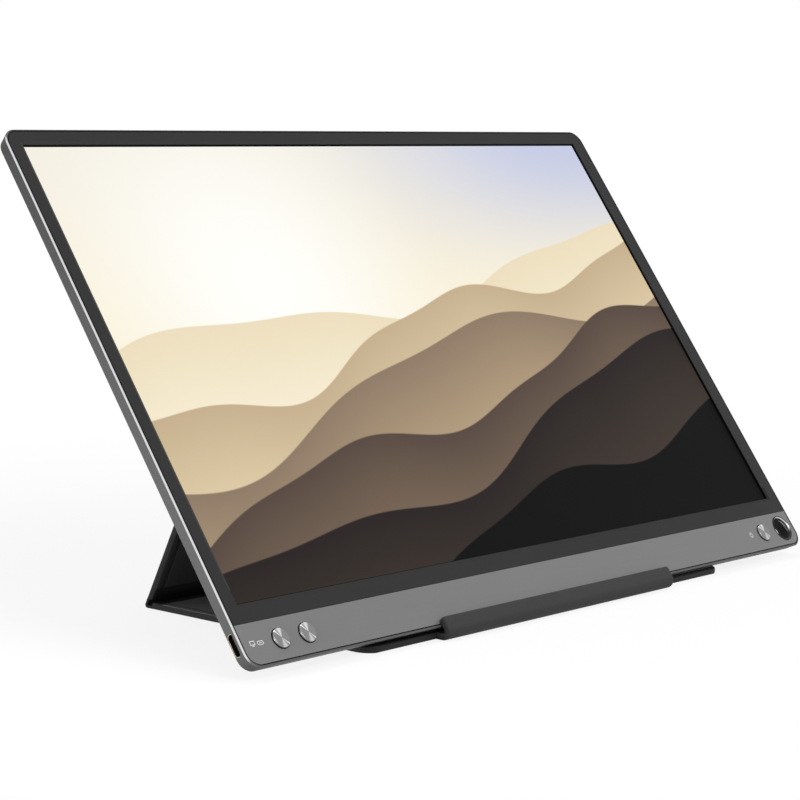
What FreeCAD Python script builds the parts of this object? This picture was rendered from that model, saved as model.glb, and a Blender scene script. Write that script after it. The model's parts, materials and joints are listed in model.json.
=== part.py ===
# Portable monitor leaning on its folding case, which serves as its stand. Millimetres.
# +X is the viewer's right, +Y the back, +Z up; the origin is on the table under the middle of the footprint.
import FreeCAD, Part
import math
import os
import re
import Sketcher

doc = FreeCAD.newDocument("portable_monitor")
Vector = FreeCAD.Vector

# Driving dimensions. Heights on the monitor are measured up the screen from its lower edge,
# depths back from the plane of its front rim, and places across from its middle.
sizes = {
    # housing
    "body_width": 359.7,
    "body_height": 226.0,
    "body_depth": 8.0,
    "side_depth": 6.2,
    "wall_draft": 1.3,
    "taper_run": 14.0,
    "corner_radius": 6.5,
    "back_edge_radius": 1.2,
    "rim_wall": 0.8,
    "side_wall": 1.2,
    "back_wall": 1.1,
    "rim_bevel": 0.55,
    "fit_gap": 0.05,
    # bezel and chin
    "plate_gap": 0.5,
    "plate_inset": 0.1,
    "plate_thickness": 1.2,
    "chin_height": 17.2,
    "seam_gap": 0.15,
    "side_border": 7.75,
    "screen_top_border": 6.9,
    "bezel_foot": 7.4,
    "screen_bevel": 1.2,
    "screen_bevel_depth": 0.5,
    # LCD, front to back
    "gasket_thickness": 0.2,
    "gasket_width": 1.6,
    "cell_border": 2.4,
    "cell_thickness": 1.0,
    "film_thickness": 0.4,
    "guide_thickness": 0.6,
    "reflector_thickness": 0.2,
    "chassis_thickness": 0.3,
    "chassis_wall": 0.6,
    "led_bar_height": 0.6,
    "led_height": 0.9,
    "led_width": 3.0,
    "led_count": 30,
    "timing_board_width": 280.0,
    "timing_board_height": 10.0,
    # boards in the chin
    "board_depth": 2.9,
    "board_thickness": 0.8,
    "board_low": 4.0,
    "board_top_gap": 2.6,
    "main_board_length": 112.0,
    "power_board_reach": 15.8,
    "power_board_gap": 1.0,
    "boss_radius": 2.0,
    "screw_radius": 0.75,
    "screw_head_radius": 1.4,
    "screw_head_height": 0.6,
    "screw_length": 2.6,
    "screw_edge": 3.0,
    "screw_drop": 4.3,
    "chip_run": 54.0,
    "chip_side": 12.0,
    "chip_thickness": 0.9,
    "coil_gap": 4.5,
    "coil_side": 5.0,
    "coil_thickness": 1.2,
    "shield_gap": 3.0,
    "shield_width": 20.0,
    "shield_height": 12.0,
    "shield_depth": 1.2,
    "shield_wall": 0.2,
    "ribbon_thickness": 0.15,
    "power_ribbon_height": 5.0,
    "power_ribbon_margin": 2.0,
    "ribbon_overlap": 9.0,
    "panel_ribbon_run": 31.0,
    "panel_ribbon_width": 16.0,
    "panel_ribbon_turn": 1.4,
    # controls
    "button_height": 9.05,
    "menu_inset": 20.1,
    "button_pitch": 13.8,
    "power_inset": 25.5,
    "button_radius": 3.85,
    "button_gap": 0.3,
    "button_proud": 0.8,
    "button_bevel": 0.3,
    "button_flange_lap": 0.6,
    "button_flange_thickness": 0.4,
    "button_flange_gap": 0.05,
    "button_stem": 1.2,
    "button_stem_length": 0.2,
    "switch_side": 3.6,
    "switch_thickness": 0.35,
    "switch_dome": 1.1,
    "switch_dome_thickness": 0.15,
    # hole for a pen
    "pen_inset": 9.7,
    "pen_height": 9.25,
    "pen_radius": 5.2,
    "ring_radius": 6.05,
    "ring_proud": 0.1,
    "ring_bevel": 0.45,
    # USB-C receptacle
    "port_height": 11.1,
    "port_inset": 1.1,
    "port_width": 8.94,
    "port_thickness": 3.26,
    "port_radius": 1.6,
    "port_wall": 0.25,
    "port_length": 7.3,
    "port_gap": 0.12,
    "port_set_back": 0.7,
    "plug_length": 1.4,
    "tongue_width": 6.7,
    "tongue_thickness": 0.7,
    "tongue_length": 4.6,
    # case
    "screen_lean": 54.0,
    "strut_lean": 65.0,
    "fold_height": 115.45,
    "case_width": 232.4,
    "skin_thickness": 0.75,
    "stiffener_thickness": 1.1,
    "lining_thickness": 0.75,
    "stand_gap": 0.3,
    "cover_rim": 1.8,
    "layer_gap": 0.1,
    "skin_edge": 0.4,
    "fold_thickness": 0.85,
    "fold_clearance": 0.35,
    "back_panel_margin": 6.0,
    "back_panel_corner": 6.0,
    "strut_corner": 2.5,
    "base_corner": 7.0,
    "base_front_step": 2.2,
    "magnet_length": 38.0,
    "magnet_height": 9.0,
    "magnet_spread": 70.0,
    "magnet_low": 26.0,
    "magnet_top_gap": 17.5,
    "keeper_thickness": 0.5,
    # front flap
    "lip_width": 148.1,
    "lip_shift": -3.35,
    "lip_gap": 0.3,
    "lip_overlap": 2.9,
    "lip_corner": 1.2,
    "lip_wall": 0.6,
    "bend_radius": 3.5,
    "bend_tab": 0.5,
}

# Values that follow from the driving dimensions.
worked = {
    "body_half": "body_width / 2",
    "plate_low": "rim_wall + plate_gap",
    "plate_half": "body_half - plate_low",
    "plate_high": "body_height - plate_low",
    "plate_corner": "corner_radius - plate_low",
    "plate_back": "plate_inset + plate_thickness",
    "screen_half": "body_half - side_border",
    "screen_low": "chin_height + bezel_foot",
    "screen_high": "body_height - screen_top_border",
    "well_inset": "wall_draft + side_wall",
    "taper_slope": "(body_depth - side_depth) / (taper_run - wall_draft)",
    "cavity_step": "side_depth - back_wall + side_wall * taper_slope",
    "cavity_depth": "body_depth - back_wall",
    "cell_half": "screen_half + cell_border",
    "cell_low": "screen_low - cell_border",
    "cell_high": "screen_high + cell_border",
    "cell_depth": "plate_back + gasket_thickness",
    "film_depth": "cell_depth + cell_thickness",
    "guide_depth": "film_depth + film_thickness",
    "reflector_depth": "guide_depth + guide_thickness",
    "chassis_depth": "reflector_depth + reflector_thickness",
    "chassis_back": "chassis_depth + chassis_thickness",
    "stack_half": "cell_half - chassis_wall - layer_gap",
    "stack_low": "cell_low + chassis_wall + layer_gap",
    "stack_high": "cell_high - chassis_wall - layer_gap",
    "guide_low": "stack_low + led_bar_height + led_height + layer_gap",
    "led_pitch": "(2 * stack_half - 2 * led_width) / led_count",
    "menu_place": "menu_inset - body_half",
    "select_place": "menu_place + button_pitch",
    "power_place": "body_half - power_inset",
    "pen_place": "body_half - pen_inset",
    "port_depth": "plate_back + port_set_back + port_gap + port_thickness / 2",
    "port_left": "port_inset - body_half",
    "port_end": "port_left + port_length",
    "board_back": "board_depth + board_thickness",
    "board_high": "cell_low - board_top_gap",
    "board_middle": "(board_low + board_high) / 2",
    "screw_height": "board_high - screw_drop",
    "chip_place": "port_end + chip_run",
    "shield_left": "chip_place + chip_side / 2 + shield_gap",
    "coil_place": "shield_left + shield_width + coil_gap + coil_side / 2",
    "panel_ribbon_left": "port_end + panel_ribbon_run",
    "power_ribbon_low": "board_low + power_ribbon_margin",
    "timing_board_low": "screen_low",
    "main_board_right": "port_end + main_board_length",
    "main_screw_left": "menu_place + button_pitch / 2",
    "main_screw_right": "main_board_right - screw_edge",
    "power_board_left": "power_place - power_board_reach",
    "power_board_right": "pen_place - ring_radius - power_board_gap",
    "power_screw_left": "power_board_left + screw_edge",
    "power_screw_right": "power_board_right - screw_edge",
    "button_flange": "button_radius + button_gap + button_flange_lap",
    "button_flange_front": "-plate_back - button_flange_gap",
    "button_flange_back": "button_flange_front - button_flange_thickness",
    "switch_low": "button_height - switch_side / 2",
    "half_panel": "(skin_thickness + stiffener_thickness + lining_thickness) / 2",
    "panel_thickness": "2 * half_panel",
    "back_panel_thickness": "panel_thickness + stand_gap",
    "case_half": "case_width / 2",
    "fold_angle": "180 - screen_lean - strut_lean",
    "rear_setback": "half_panel / tan(strut_lean / 2) + fold_clearance",
    "top_setback": "half_panel * tan(fold_angle / 2) + fold_clearance",
    "fold_core": "half_panel - fold_thickness",
    "lift": "panel_thickness + side_depth * cos(screen_lean) - wall_draft * sin(screen_lean)",
    "hinge_depth": "body_depth + stand_gap + half_panel",
    "bend_core": "bend_radius - panel_thickness",
    "bend_depth": "lip_gap + panel_thickness - bend_radius",
    "bend_height": "(bend_radius - lift - bend_depth * cos(screen_lean)) / sin(screen_lean)",
    "case_top": "body_height - back_panel_margin",
    "back_panel_length": "case_top - fold_height",
    "magnet_high": "back_panel_length - magnet_top_gap - magnet_height",
    "reach_back": "case_top * cos(screen_lean) + (body_depth + back_panel_thickness) * sin(screen_lean)",
    "reach_front": "bend_height * cos(screen_lean) - bend_depth * sin(screen_lean) - bend_radius",
    "front_edge": "-(reach_back + reach_front) / 2",
    "hinge_back": "front_edge + fold_height * cos(screen_lean) + hinge_depth * sin(screen_lean)",
    "hinge_up": "lift + fold_height * sin(screen_lean) - hinge_depth * cos(screen_lean)",
    "strut_length": "(hinge_up - half_panel) / sin(strut_lean)",
    "rear_back": "hinge_back + strut_length * cos(strut_lean)",
    "bend_back": "front_edge + bend_height * cos(screen_lean) - bend_depth * sin(screen_lean)",
    "base_front": "front_edge + base_front_step - rear_back",
    "tongue_front": "bend_back + bend_tab - rear_back",
    "lip_half": "lip_width / 2",
    "flap_length": "lip_overlap - bend_height",
}

# Which sheet holds each name, so that a formula can be written with bare names.
home = {name: "Sizes" for name in sizes}
home.update({name: "Worked" for name in worked})


def spelled(formula):
    def with_sheet(word):
        name = word[0]
        return f"{home[name]}.{name}" if name in home else name

    return re.sub(r"[a-z_]+", with_sheet, formula)


def fill_sheet(name, entries):
    sheet = doc.addObject("Spreadsheet::Sheet", name)
    for row, (alias, content) in enumerate(entries.items(), 1):
        sheet.set(f"A{row}", alias)
        sheet.set(f"B{row}", content)
        sheet.setAlias(f"B{row}", alias)
    doc.recompute()
    return sheet


driving = fill_sheet("Sizes", {name: str(size) for name, size in sizes.items()})
fill_sheet("Worked", {name: f"={spelled(formula)}" for name, formula in worked.items()})

subparts = []


def value(formula):
    result = driving.evalExpression(spelled(formula))
    return float(getattr(result, "Value", result))


def bind(target, entry, formula):
    target.setExpression(entry, spelled(formula))


def placed(x, y, z, turn="0"):
    return f"placement(vector({x}; {y}; {z}); rotation(vector(1; 0; 0); {turn}))"


# Where each frame sits: the screen's lower front edge, the prop's hinge, the rear fold and the bend.
on_screen = placed("0", "front_edge", "lift", "screen_lean")
on_back_panel = f"{on_screen} * {placed('0', 'fold_height', '-body_depth - back_panel_thickness')}"
on_top_fold = f"{on_screen} * {placed('0', 'fold_height', '-hinge_depth')}"
at_hinge = placed("0", "hinge_back", "hinge_up", "180 - strut_lean")
on_strut = f"{at_hinge} * {placed('0', '0', '-half_panel')}"
on_rear_fold = placed("0", "rear_back", "half_panel")
on_base = placed("0", "rear_back", "0")
on_bend = placed("lip_shift", "bend_back", "bend_radius")
on_lip = f"{placed('lip_shift', 'bend_back', 'bend_radius', 'screen_lean')} * {placed('0', '0', 'bend_core')}"


def keep(piece, label, place):
    piece.Label = label
    bind(piece, "Placement", place)
    subparts.append(piece)
    return piece


def new_body(label, place=on_screen):
    return keep(doc.addObject("PartDesign::Body", label), label, place)


def new_sketch(body, name, level="0", plane="XY_Plane"):
    sketch = body.newObject("Sketcher::SketchObject", name)
    support = next(feature for feature in body.Origin.OriginFeatures if feature.Role == plane)
    sketch.AttachmentSupport = [(support, "")]
    sketch.MapMode = "FlatFace"
    bind(sketch, "AttachmentOffset.Base.z", level)
    return sketch


def limit(sketch, constraint, formula):
    number = sketch.addConstraint(constraint)
    bind(sketch, f"Constraints[{number}]", formula)


def pin(sketch, edge, end, point):
    for kind, formula in zip(("DistanceX", "DistanceY"), point):
        limit(sketch, Sketcher.Constraint(kind, -1, 1, edge, end, value(formula)), formula)


def spot(point):
    return Vector(value(point[0]), value(point[1]), 0)


def add_line(sketch, start, end):
    line = sketch.addGeometry(Part.LineSegment(spot(start), spot(end)))
    pin(sketch, line, 1, start)
    pin(sketch, line, 2, end)
    return line


def add_loop(sketch, corners):
    for start, end in zip(corners, corners[1:] + corners[:1]):
        add_line(sketch, start, end)


def add_rectangle(sketch, left, right, low, high):
    add_loop(sketch, [(left, low), (right, low), (right, high), (left, high)])


def add_circle(sketch, x, y, radius):
    circle = sketch.addGeometry(Part.Circle(spot((x, y)), Vector(0, 0, 1), value(radius)))
    pin(sketch, circle, 3, (x, y))
    limit(sketch, Sketcher.Constraint("Radius", circle, value(radius)), radius)


def add_arc(sketch, centre, radius, start, end, before, after):
    # An arc from one line's end to the next line's start, counter-clockwise by angles in degrees.
    circle = Part.Circle(spot(centre), Vector(0, 0, 1), value(radius))
    sweep = (math.radians(value(start)), math.radians(value(end)))
    arc = sketch.addGeometry(Part.ArcOfCircle(circle, *sweep))
    sketch.addConstraint(Sketcher.Constraint("Coincident", arc, 1, *before))
    sketch.addConstraint(Sketcher.Constraint("Coincident", arc, 2, *after))
    limit(sketch, Sketcher.Constraint("Radius", arc, value(radius)), radius)


def add_rounded(sketch, left, right, low, high, radius):
    inner_left = f"{left} + ({radius})"
    inner_right = f"{right} - ({radius})"
    inner_low = f"{low} + ({radius})"
    inner_high = f"{high} - ({radius})"
    bottom = add_line(sketch, (inner_left, low), (inner_right, low))
    side_right = add_line(sketch, (right, inner_low), (right, inner_high))
    top = add_line(sketch, (inner_right, high), (inner_left, high))
    side_left = add_line(sketch, (left, inner_high), (left, inner_low))
    add_arc(sketch, (inner_right, inner_low), radius, "-90", "0", (bottom, 2), (side_right, 1))
    add_arc(sketch, (inner_right, inner_high), radius, "0", "90", (side_right, 2), (top, 1))
    add_arc(sketch, (inner_left, inner_high), radius, "90", "180", (top, 2), (side_left, 1))
    add_arc(sketch, (inner_left, inner_low), radius, "180", "270", (side_left, 2), (bottom, 1))


def add_inset(sketch, inset, radius):
    # The housing's outline, drawn in by an inset.
    add_rounded(
        sketch,
        f"-body_half + {inset}",
        f"body_half - {inset}",
        inset,
        f"body_height - {inset}",
        radius,
    )


def extrude(body, kind, sketch, length, backwards=True, both_ways=False):
    feature = body.newObject(f"PartDesign::{kind}", kind)
    feature.Profile = sketch
    bind(feature, "Length", length)
    feature.Reversed = backwards
    if both_ways:
        feature.SideType = "Symmetric"
    doc.recompute()
    return feature


def pad(body, sketch, length, backwards=True, both_ways=False):
    return extrude(body, "Pad", sketch, length, backwards, both_ways)


def pocket(body, sketch, length, backwards=False):
    before = body.Shape.Volume
    feature = extrude(body, "Pocket", sketch, length, backwards)
    if feature.Shape.Volume >= before:
        raise RuntimeError(f"{body.Label}: a pocket cuts nothing")
    return feature


def loft(body, kind, first, last):
    feature = body.newObject(f"PartDesign::{kind}", kind)
    feature.Profile = first
    feature.Sections = [last]
    feature.Ruled = True
    doc.recompute()


def dress(body, kind, entry, size, wanted):
    # Rounds or bevels the edges that a test picks.
    base = body.Tip
    names = [f"Edge{number}" for number, edge in enumerate(base.Shape.Edges, 1) if wanted(edge)]
    feature = body.newObject(f"PartDesign::{kind}", kind)
    feature.Base = (base, names)
    bind(feature, entry, size)
    doc.recompute()


def near(a, b):
    return abs(a - b) < 1e-4


def at_level(edge, level):
    return near(edge.BoundBox.ZMin, level) and near(edge.BoundBox.ZMax, level)


def upright_at(edge, x, y):
    middle = edge.BoundBox.Center
    return edge.BoundBox.ZLength > 1e-3 and near(abs(middle.x), x) and near(middle.y, y)


def slab(label, left, right, low, high, depth, thickness, place=on_screen):
    body = new_body(label, place)
    sketch = new_sketch(body, "Outline", f"-({depth})")
    add_rectangle(sketch, left, right, low, high)
    pad(body, sketch, thickness)
    return body


def turned(label, place, corners):
    # A turned piece: corners are radius and height on a half section.
    body = new_body(label, place)
    sketch = new_sketch(body, "HalfSection", plane="XZ_Plane")
    add_loop(sketch, corners)
    feature = body.newObject("PartDesign::Revolution", "Turn")
    feature.Profile = sketch
    feature.ReferenceAxis = (sketch, ["V_Axis"])
    doc.recompute()
    return body


def block(name, place, corner, extent):
    box = doc.addObject("Part::Box", name)
    for entry, formula in zip(("Length", "Width", "Height"), extent):
        bind(box, entry, formula)
    bind(box, "Placement", f"{place} * {placed(*corner)}")
    return box


def post(name, place, foot, radius, height):
    cylinder = doc.addObject("Part::Cylinder", name)
    bind(cylinder, "Radius", radius)
    bind(cylinder, "Height", height)
    bind(cylinder, "Placement", f"{place} * {placed(*foot)}")
    return cylinder


def joined(name, first, second):
    fuse = doc.addObject("Part::Fuse", name)
    fuse.Base = first
    fuse.Tool = second
    return fuse


def group(label, pieces):
    compound = doc.addObject("Part::Compound", label)
    compound.Label = label
    compound.Links = pieces
    subparts.append(compound)


screw_spots = {
    "MainLeft": "main_screw_left",
    "MainRight": "main_screw_right",
    "PowerLeft": "power_screw_left",
    "PowerRight": "power_screw_right",
}
button_spots = {
    "menu": "menu_place",
    "select": "select_place",
    "power": "power_place",
}


def make_rear_cover():
    cover = new_body("rear_cover")
    rim = new_sketch(cover, "Rim")
    add_inset(rim, "0", "corner_radius")
    wall_end = new_sketch(cover, "WallEnd", "-side_depth")
    add_inset(wall_end, "wall_draft", "corner_radius - wall_draft")
    loft(cover, "AdditiveLoft", rim, wall_end)
    taper_start = new_sketch(cover, "TaperStart", "-side_depth")
    add_inset(taper_start, "wall_draft", "corner_radius - wall_draft")
    taper_end = new_sketch(cover, "TaperEnd", "-body_depth")
    add_inset(taper_end, "taper_run", "corner_radius - wall_draft")
    loft(cover, "AdditiveLoft", taper_start, taper_end)
    dress(cover, "Fillet", "Radius", "back_edge_radius", lambda edge: at_level(edge, -value("side_depth")))
    dress(cover, "Chamfer", "Size", "rim_bevel", lambda edge: at_level(edge, 0))
    recess = new_sketch(cover, "PlateRecess")
    add_inset(recess, "rim_wall", "corner_radius - rim_wall")
    pocket(cover, recess, "plate_back")
    well = new_sketch(cover, "Well")
    add_inset(well, "well_inset", "corner_radius - well_inset")
    pocket(cover, well, "cavity_step")
    floor_start = new_sketch(cover, "FloorStart", "-cavity_step")
    add_inset(floor_start, "well_inset", "corner_radius - well_inset")
    floor_end = new_sketch(cover, "FloorEnd", "-cavity_depth")
    add_inset(floor_end, "taper_run", "corner_radius - well_inset")
    loft(cover, "SubtractiveLoft", floor_start, floor_end)
    bosses = new_sketch(cover, "Bosses", "-board_back")
    for place in screw_spots.values():
        add_circle(bosses, place, "screw_height", "boss_radius")
    pad(cover, bosses, "cavity_depth - board_back + fit_gap")
    pilots = new_sketch(cover, "Pilots", "-board_back")
    for place in screw_spots.values():
        add_circle(pilots, place, "screw_height", "screw_radius + fit_gap")
    pocket(cover, pilots, "screw_length")
    pen_hole = new_sketch(cover, "PenHole")
    add_circle(pen_hole, "pen_place", "pen_height", "ring_radius + fit_gap")
    pocket(cover, pen_hole, "body_depth")
    port = new_sketch(cover, "Port", "-body_half", "YZ_Plane")
    add_port(port, "port_gap")
    pocket(cover, port, "port_inset + port_length", backwards=True)


def add_port(sketch, margin):
    # The receptacle's stadium section, grown by a margin.
    half_width = f"(port_width / 2 + {margin})"
    half_thickness = f"(port_thickness / 2 + {margin})"
    add_rounded(
        sketch,
        f"port_height - {half_width}",
        f"port_height + {half_width}",
        f"-port_depth - {half_thickness}",
        f"-port_depth + {half_thickness}",
        f"port_radius + {margin}",
    )


def make_front_plates():
    bezel = new_body("front_bezel")
    frame = new_sketch(bezel, "Frame", "-plate_inset")
    add_rectangle(frame, "-plate_half", "plate_half", "chin_height", "plate_high")
    add_rectangle(frame, "-screen_half", "screen_half", "screen_low", "screen_high")
    pad(bezel, frame, "plate_thickness")
    dress(
        bezel,
        "Fillet",
        "Radius",
        "plate_corner",
        lambda edge: upright_at(edge, value("plate_half"), value("plate_high")),
    )
    bevel_start = new_sketch(bezel, "BevelStart", "-plate_inset")
    add_rectangle(
        bevel_start,
        "-screen_half - screen_bevel",
        "screen_half + screen_bevel",
        "screen_low - screen_bevel",
        "screen_high + screen_bevel",
    )
    bevel_end = new_sketch(bezel, "BevelEnd", "-plate_inset - screen_bevel_depth")
    add_rectangle(bevel_end, "-screen_half", "screen_half", "screen_low", "screen_high")
    loft(bezel, "SubtractiveLoft", bevel_start, bevel_end)
    chin = new_body("chin_panel")
    strip = new_sketch(chin, "Strip", "-plate_inset")
    add_rectangle(strip, "-plate_half", "plate_half", "plate_low", "chin_height - seam_gap")
    pad(chin, strip, "plate_thickness")
    dress(
        chin,
        "Fillet",
        "Radius",
        "plate_corner",
        lambda edge: upright_at(edge, value("plate_half"), value("plate_low")),
    )
    holes = new_sketch(chin, "Holes", "-plate_inset")
    for place in button_spots.values():
        add_circle(holes, place, "button_height", "button_radius + button_gap")
    add_circle(holes, "pen_place", "pen_height", "ring_radius + fit_gap")
    pocket(chin, holes, "plate_thickness")


def make_screen():
    gasket = new_body("bezel_gasket")
    ring = new_sketch(gasket, "Ring", "-plate_back")
    add_rectangle(ring, "-cell_half", "cell_half", "cell_low", "cell_high")
    add_rectangle(
        ring,
        "-cell_half + gasket_width",
        "cell_half - gasket_width",
        "cell_low + gasket_width",
        "cell_high - gasket_width",
    )
    pad(gasket, ring, "gasket_thickness")
    slab("lcd_cell", "-cell_half", "cell_half", "cell_low", "cell_high", "cell_depth", "cell_thickness")
    chassis = slab(
        "panel_chassis",
        "-cell_half",
        "cell_half",
        "cell_low",
        "cell_high",
        "film_depth",
        "chassis_back - film_depth",
    )
    tray = new_sketch(chassis, "Tray", "-film_depth")
    add_rectangle(
        tray,
        "-cell_half + chassis_wall",
        "cell_half - chassis_wall",
        "cell_low + chassis_wall",
        "cell_high - chassis_wall",
    )
    pocket(chassis, tray, "chassis_depth - film_depth")
    layers = {
        "diffuser_films": ("stack_low", "film_depth", "film_thickness"),
        "light_guide": ("guide_low", "guide_depth", "guide_thickness"),
        "reflector_sheet": ("stack_low", "reflector_depth", "reflector_thickness"),
    }
    for label, (low, depth, thickness) in layers.items():
        slab(label, "-stack_half", "stack_half", low, "stack_high", depth, thickness)
    lamp_low = "stack_low + led_bar_height"
    strip = ("-stack_half", "stack_half", "stack_low", lamp_low)
    bar = slab("led_bar", *strip, "guide_depth", "guide_thickness")
    lamp = new_sketch(bar, "Lamp", "-guide_depth")
    lamp_left = "-led_pitch * (led_count - 1) / 2 - led_width / 2"
    add_rectangle(lamp, lamp_left, f"{lamp_left} + led_width", lamp_low, f"{lamp_low} + led_height")
    first_lamp = pad(bar, lamp, "guide_thickness")
    row = bar.newObject("PartDesign::LinearPattern", "Row")
    row.Originals = [first_lamp]
    row.Direction = (lamp, ["H_Axis"])
    bind(row, "Length", "led_pitch * (led_count - 1)")
    bind(row, "Occurrences", "led_count")
    bar.Tip = row
    slab(
        "timing_board",
        "-timing_board_width / 2",
        "timing_board_width / 2",
        "timing_board_low",
        "timing_board_low + timing_board_height",
        "chassis_back",
        "board_thickness",
    )


def make_boards():
    edges = {
        "main_board": ("port_end", "main_board_right"),
        "power_board": ("power_board_left", "power_board_right"),
    }
    for label, (left, right) in edges.items():
        board = slab(label, left, right, "board_low", "board_high", "board_depth", "board_thickness")
        holes = new_sketch(board, "ScrewHoles", "-board_depth")
        for name, place in screw_spots.items():
            if label.startswith(name[:4].lower()):
                add_circle(holes, place, "screw_height", "screw_radius + fit_gap")
        pocket(board, holes, "board_thickness")
    centred_part("scaler_chip", "chip_place", "chip_side", "chip_thickness")
    centred_part("power_coil", "coil_place", "coil_side", "coil_thickness")
    shield = slab(
        "shield_can",
        "shield_left",
        "shield_left + shield_width",
        "board_middle - shield_height / 2",
        "board_middle + shield_height / 2",
        "board_depth - shield_depth",
        "shield_depth",
    )
    hollow = new_sketch(shield, "Hollow", "-board_depth")
    add_rectangle(
        hollow,
        "shield_left + shield_wall",
        "shield_left + shield_width - shield_wall",
        "board_middle - shield_height / 2 + shield_wall",
        "board_middle + shield_height / 2 - shield_wall",
    )
    pocket(shield, hollow, "shield_depth - shield_wall", backwards=True)
    slab(
        "power_ribbon",
        "main_board_right - ribbon_overlap",
        "power_board_left + ribbon_overlap",
        "power_ribbon_low",
        "power_ribbon_low + power_ribbon_height",
        "board_back",
        "ribbon_thickness",
    )
    make_panel_ribbon()
    screws = []
    for name, place in screw_spots.items():
        top = (place, "screw_height", "-board_depth")
        tip = (place, "screw_height", "-board_depth - screw_length")
        head = post(f"{name}Head", on_screen, top, "screw_head_radius", "screw_head_height")
        shank = post(f"{name}Shank", on_screen, tip, "screw_radius", "screw_length")
        screws.append(joined(f"{name}Screw", head, shank))
    group("board_screws", screws)


def centred_part(label, place, side, thickness):
    slab(
        label,
        f"{place} - {side} / 2",
        f"{place} + {side} / 2",
        f"board_middle - {side} / 2",
        f"board_middle + {side} / 2",
        f"board_depth - {thickness}",
        thickness,
    )


def make_panel_ribbon():
    # Runs from the main board's back, under the chassis, to the timing board's back.
    ribbon = new_body("panel_ribbon")
    section = new_sketch(ribbon, "Section", "panel_ribbon_left", "YZ_Plane")
    low = "board_high - ribbon_overlap / 2"
    high = "timing_board_low + ribbon_overlap / 2"
    upper = "-board_back"
    lower = "-chassis_back - board_thickness"
    turn = "board_high + panel_ribbon_turn"
    add_loop(
        section,
        [
            (low, upper),
            ("board_high", upper),
            (turn, lower),
            (high, lower),
            (high, f"{lower} - ribbon_thickness"),
            (turn, f"{lower} - ribbon_thickness"),
            ("board_high", f"{upper} - ribbon_thickness"),
            (low, f"{upper} - ribbon_thickness"),
        ],
    )
    pad(ribbon, section, "panel_ribbon_width", backwards=False)


def make_controls():
    for name, place in button_spots.items():
        turned(
            f"{name}_button",
            f"{on_screen} * {placed(place, 'button_height', '0')}",
            [
                ("0", "button_flange_back - button_stem_length"),
                ("button_stem", "button_flange_back - button_stem_length"),
                ("button_stem", "button_flange_back"),
                ("button_flange", "button_flange_back"),
                ("button_flange", "button_flange_front"),
                ("button_radius", "button_flange_front"),
                ("button_radius", "button_proud - button_bevel"),
                ("button_radius - button_bevel", "button_proud"),
                ("0", "button_proud"),
            ],
        )
    group("left_switches", [make_switch("Menu", "menu_place"), make_switch("Select", "select_place")])
    group("power_switch", [make_switch("Power", "power_place")])
    turned(
        "pen_hole_ring",
        f"{on_screen} * {placed('pen_place', 'pen_height', '0')}",
        [
            ("pen_radius", "-side_depth"),
            ("ring_radius", "-side_depth"),
            ("ring_radius", "ring_proud"),
            ("pen_radius + ring_bevel", "ring_proud"),
            ("pen_radius", "ring_proud - ring_bevel"),
        ],
    )


def make_switch(name, place):
    corner = (f"{place} - switch_side / 2", "switch_low", "-board_depth")
    case = block(f"{name}SwitchCase", on_screen, corner, ("switch_side", "switch_side", "switch_thickness"))
    foot = (place, "button_height", "-board_depth + switch_thickness")
    dome = post(f"{name}SwitchDome", on_screen, foot, "switch_dome", "switch_dome_thickness")
    return joined(f"{name}Switch", case, dome)


def make_receptacle():
    shell = new_body("usb_shell")
    section = new_sketch(shell, "Section", "port_left", "YZ_Plane")
    add_port(section, "0")
    pad(shell, section, "port_length", backwards=False)
    bore = new_sketch(shell, "Bore", "port_left", "YZ_Plane")
    add_port(bore, "-port_wall")
    pocket(shell, bore, "port_length", backwards=True)
    core = new_body("usb_tongue")
    plug = new_sketch(core, "Plug", "port_end", "YZ_Plane")
    add_port(plug, "-port_wall")
    pad(core, plug, "plug_length")
    tongue = new_sketch(core, "Tongue", "port_end - plug_length", "YZ_Plane")
    add_rectangle(
        tongue,
        "port_height - tongue_width / 2",
        "port_height + tongue_width / 2",
        "-port_depth - tongue_thickness / 2",
        "-port_depth + tongue_thickness / 2",
    )
    pad(core, tongue, "tongue_length")


def make_panel_layers(name, cover, place, low, high, corner, lining):
    # A cover's tray holds a board, and a lining over it, level with the cover's rim.
    left = "-case_half + cover_rim"
    right = "case_half - cover_rim"
    inner_low = f"{low} + cover_rim"
    inner_high = f"{high} - cover_rim"
    radius = f"{corner} - cover_rim"
    level = "skin_thickness"
    tray = new_sketch(cover, "Tray", level)
    add_rounded(tray, left, right, inner_low, inner_high, radius)
    pocket(cover, tray, f"stiffener_thickness + {lining}", backwards=True)
    layers = {
        "board": (level, "stiffener_thickness"),
        "lining": (f"{level} + stiffener_thickness", lining),
    }
    made = {}
    for layer, (layer_level, thickness) in layers.items():
        body = new_body(f"{name}_{layer}", place)
        sketch = new_sketch(body, "Outline", layer_level)
        add_rounded(
            sketch,
            f"{left} + layer_gap",
            f"{right} - layer_gap",
            f"{inner_low} + layer_gap",
            f"{inner_high} - layer_gap",
            f"{radius} - layer_gap",
        )
        pad(body, sketch, thickness, backwards=False)
        made[layer] = body
    return made


def make_cover(name, place, draw, thickness):
    cover = new_body(f"{name}_cover", place)
    outline = new_sketch(cover, "Outline")
    draw(outline)
    pad(cover, outline, thickness, backwards=False)
    return cover


def soften(cover):
    dress(cover, "Chamfer", "Size", "skin_edge", lambda edge: at_level(edge, 0))


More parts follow.
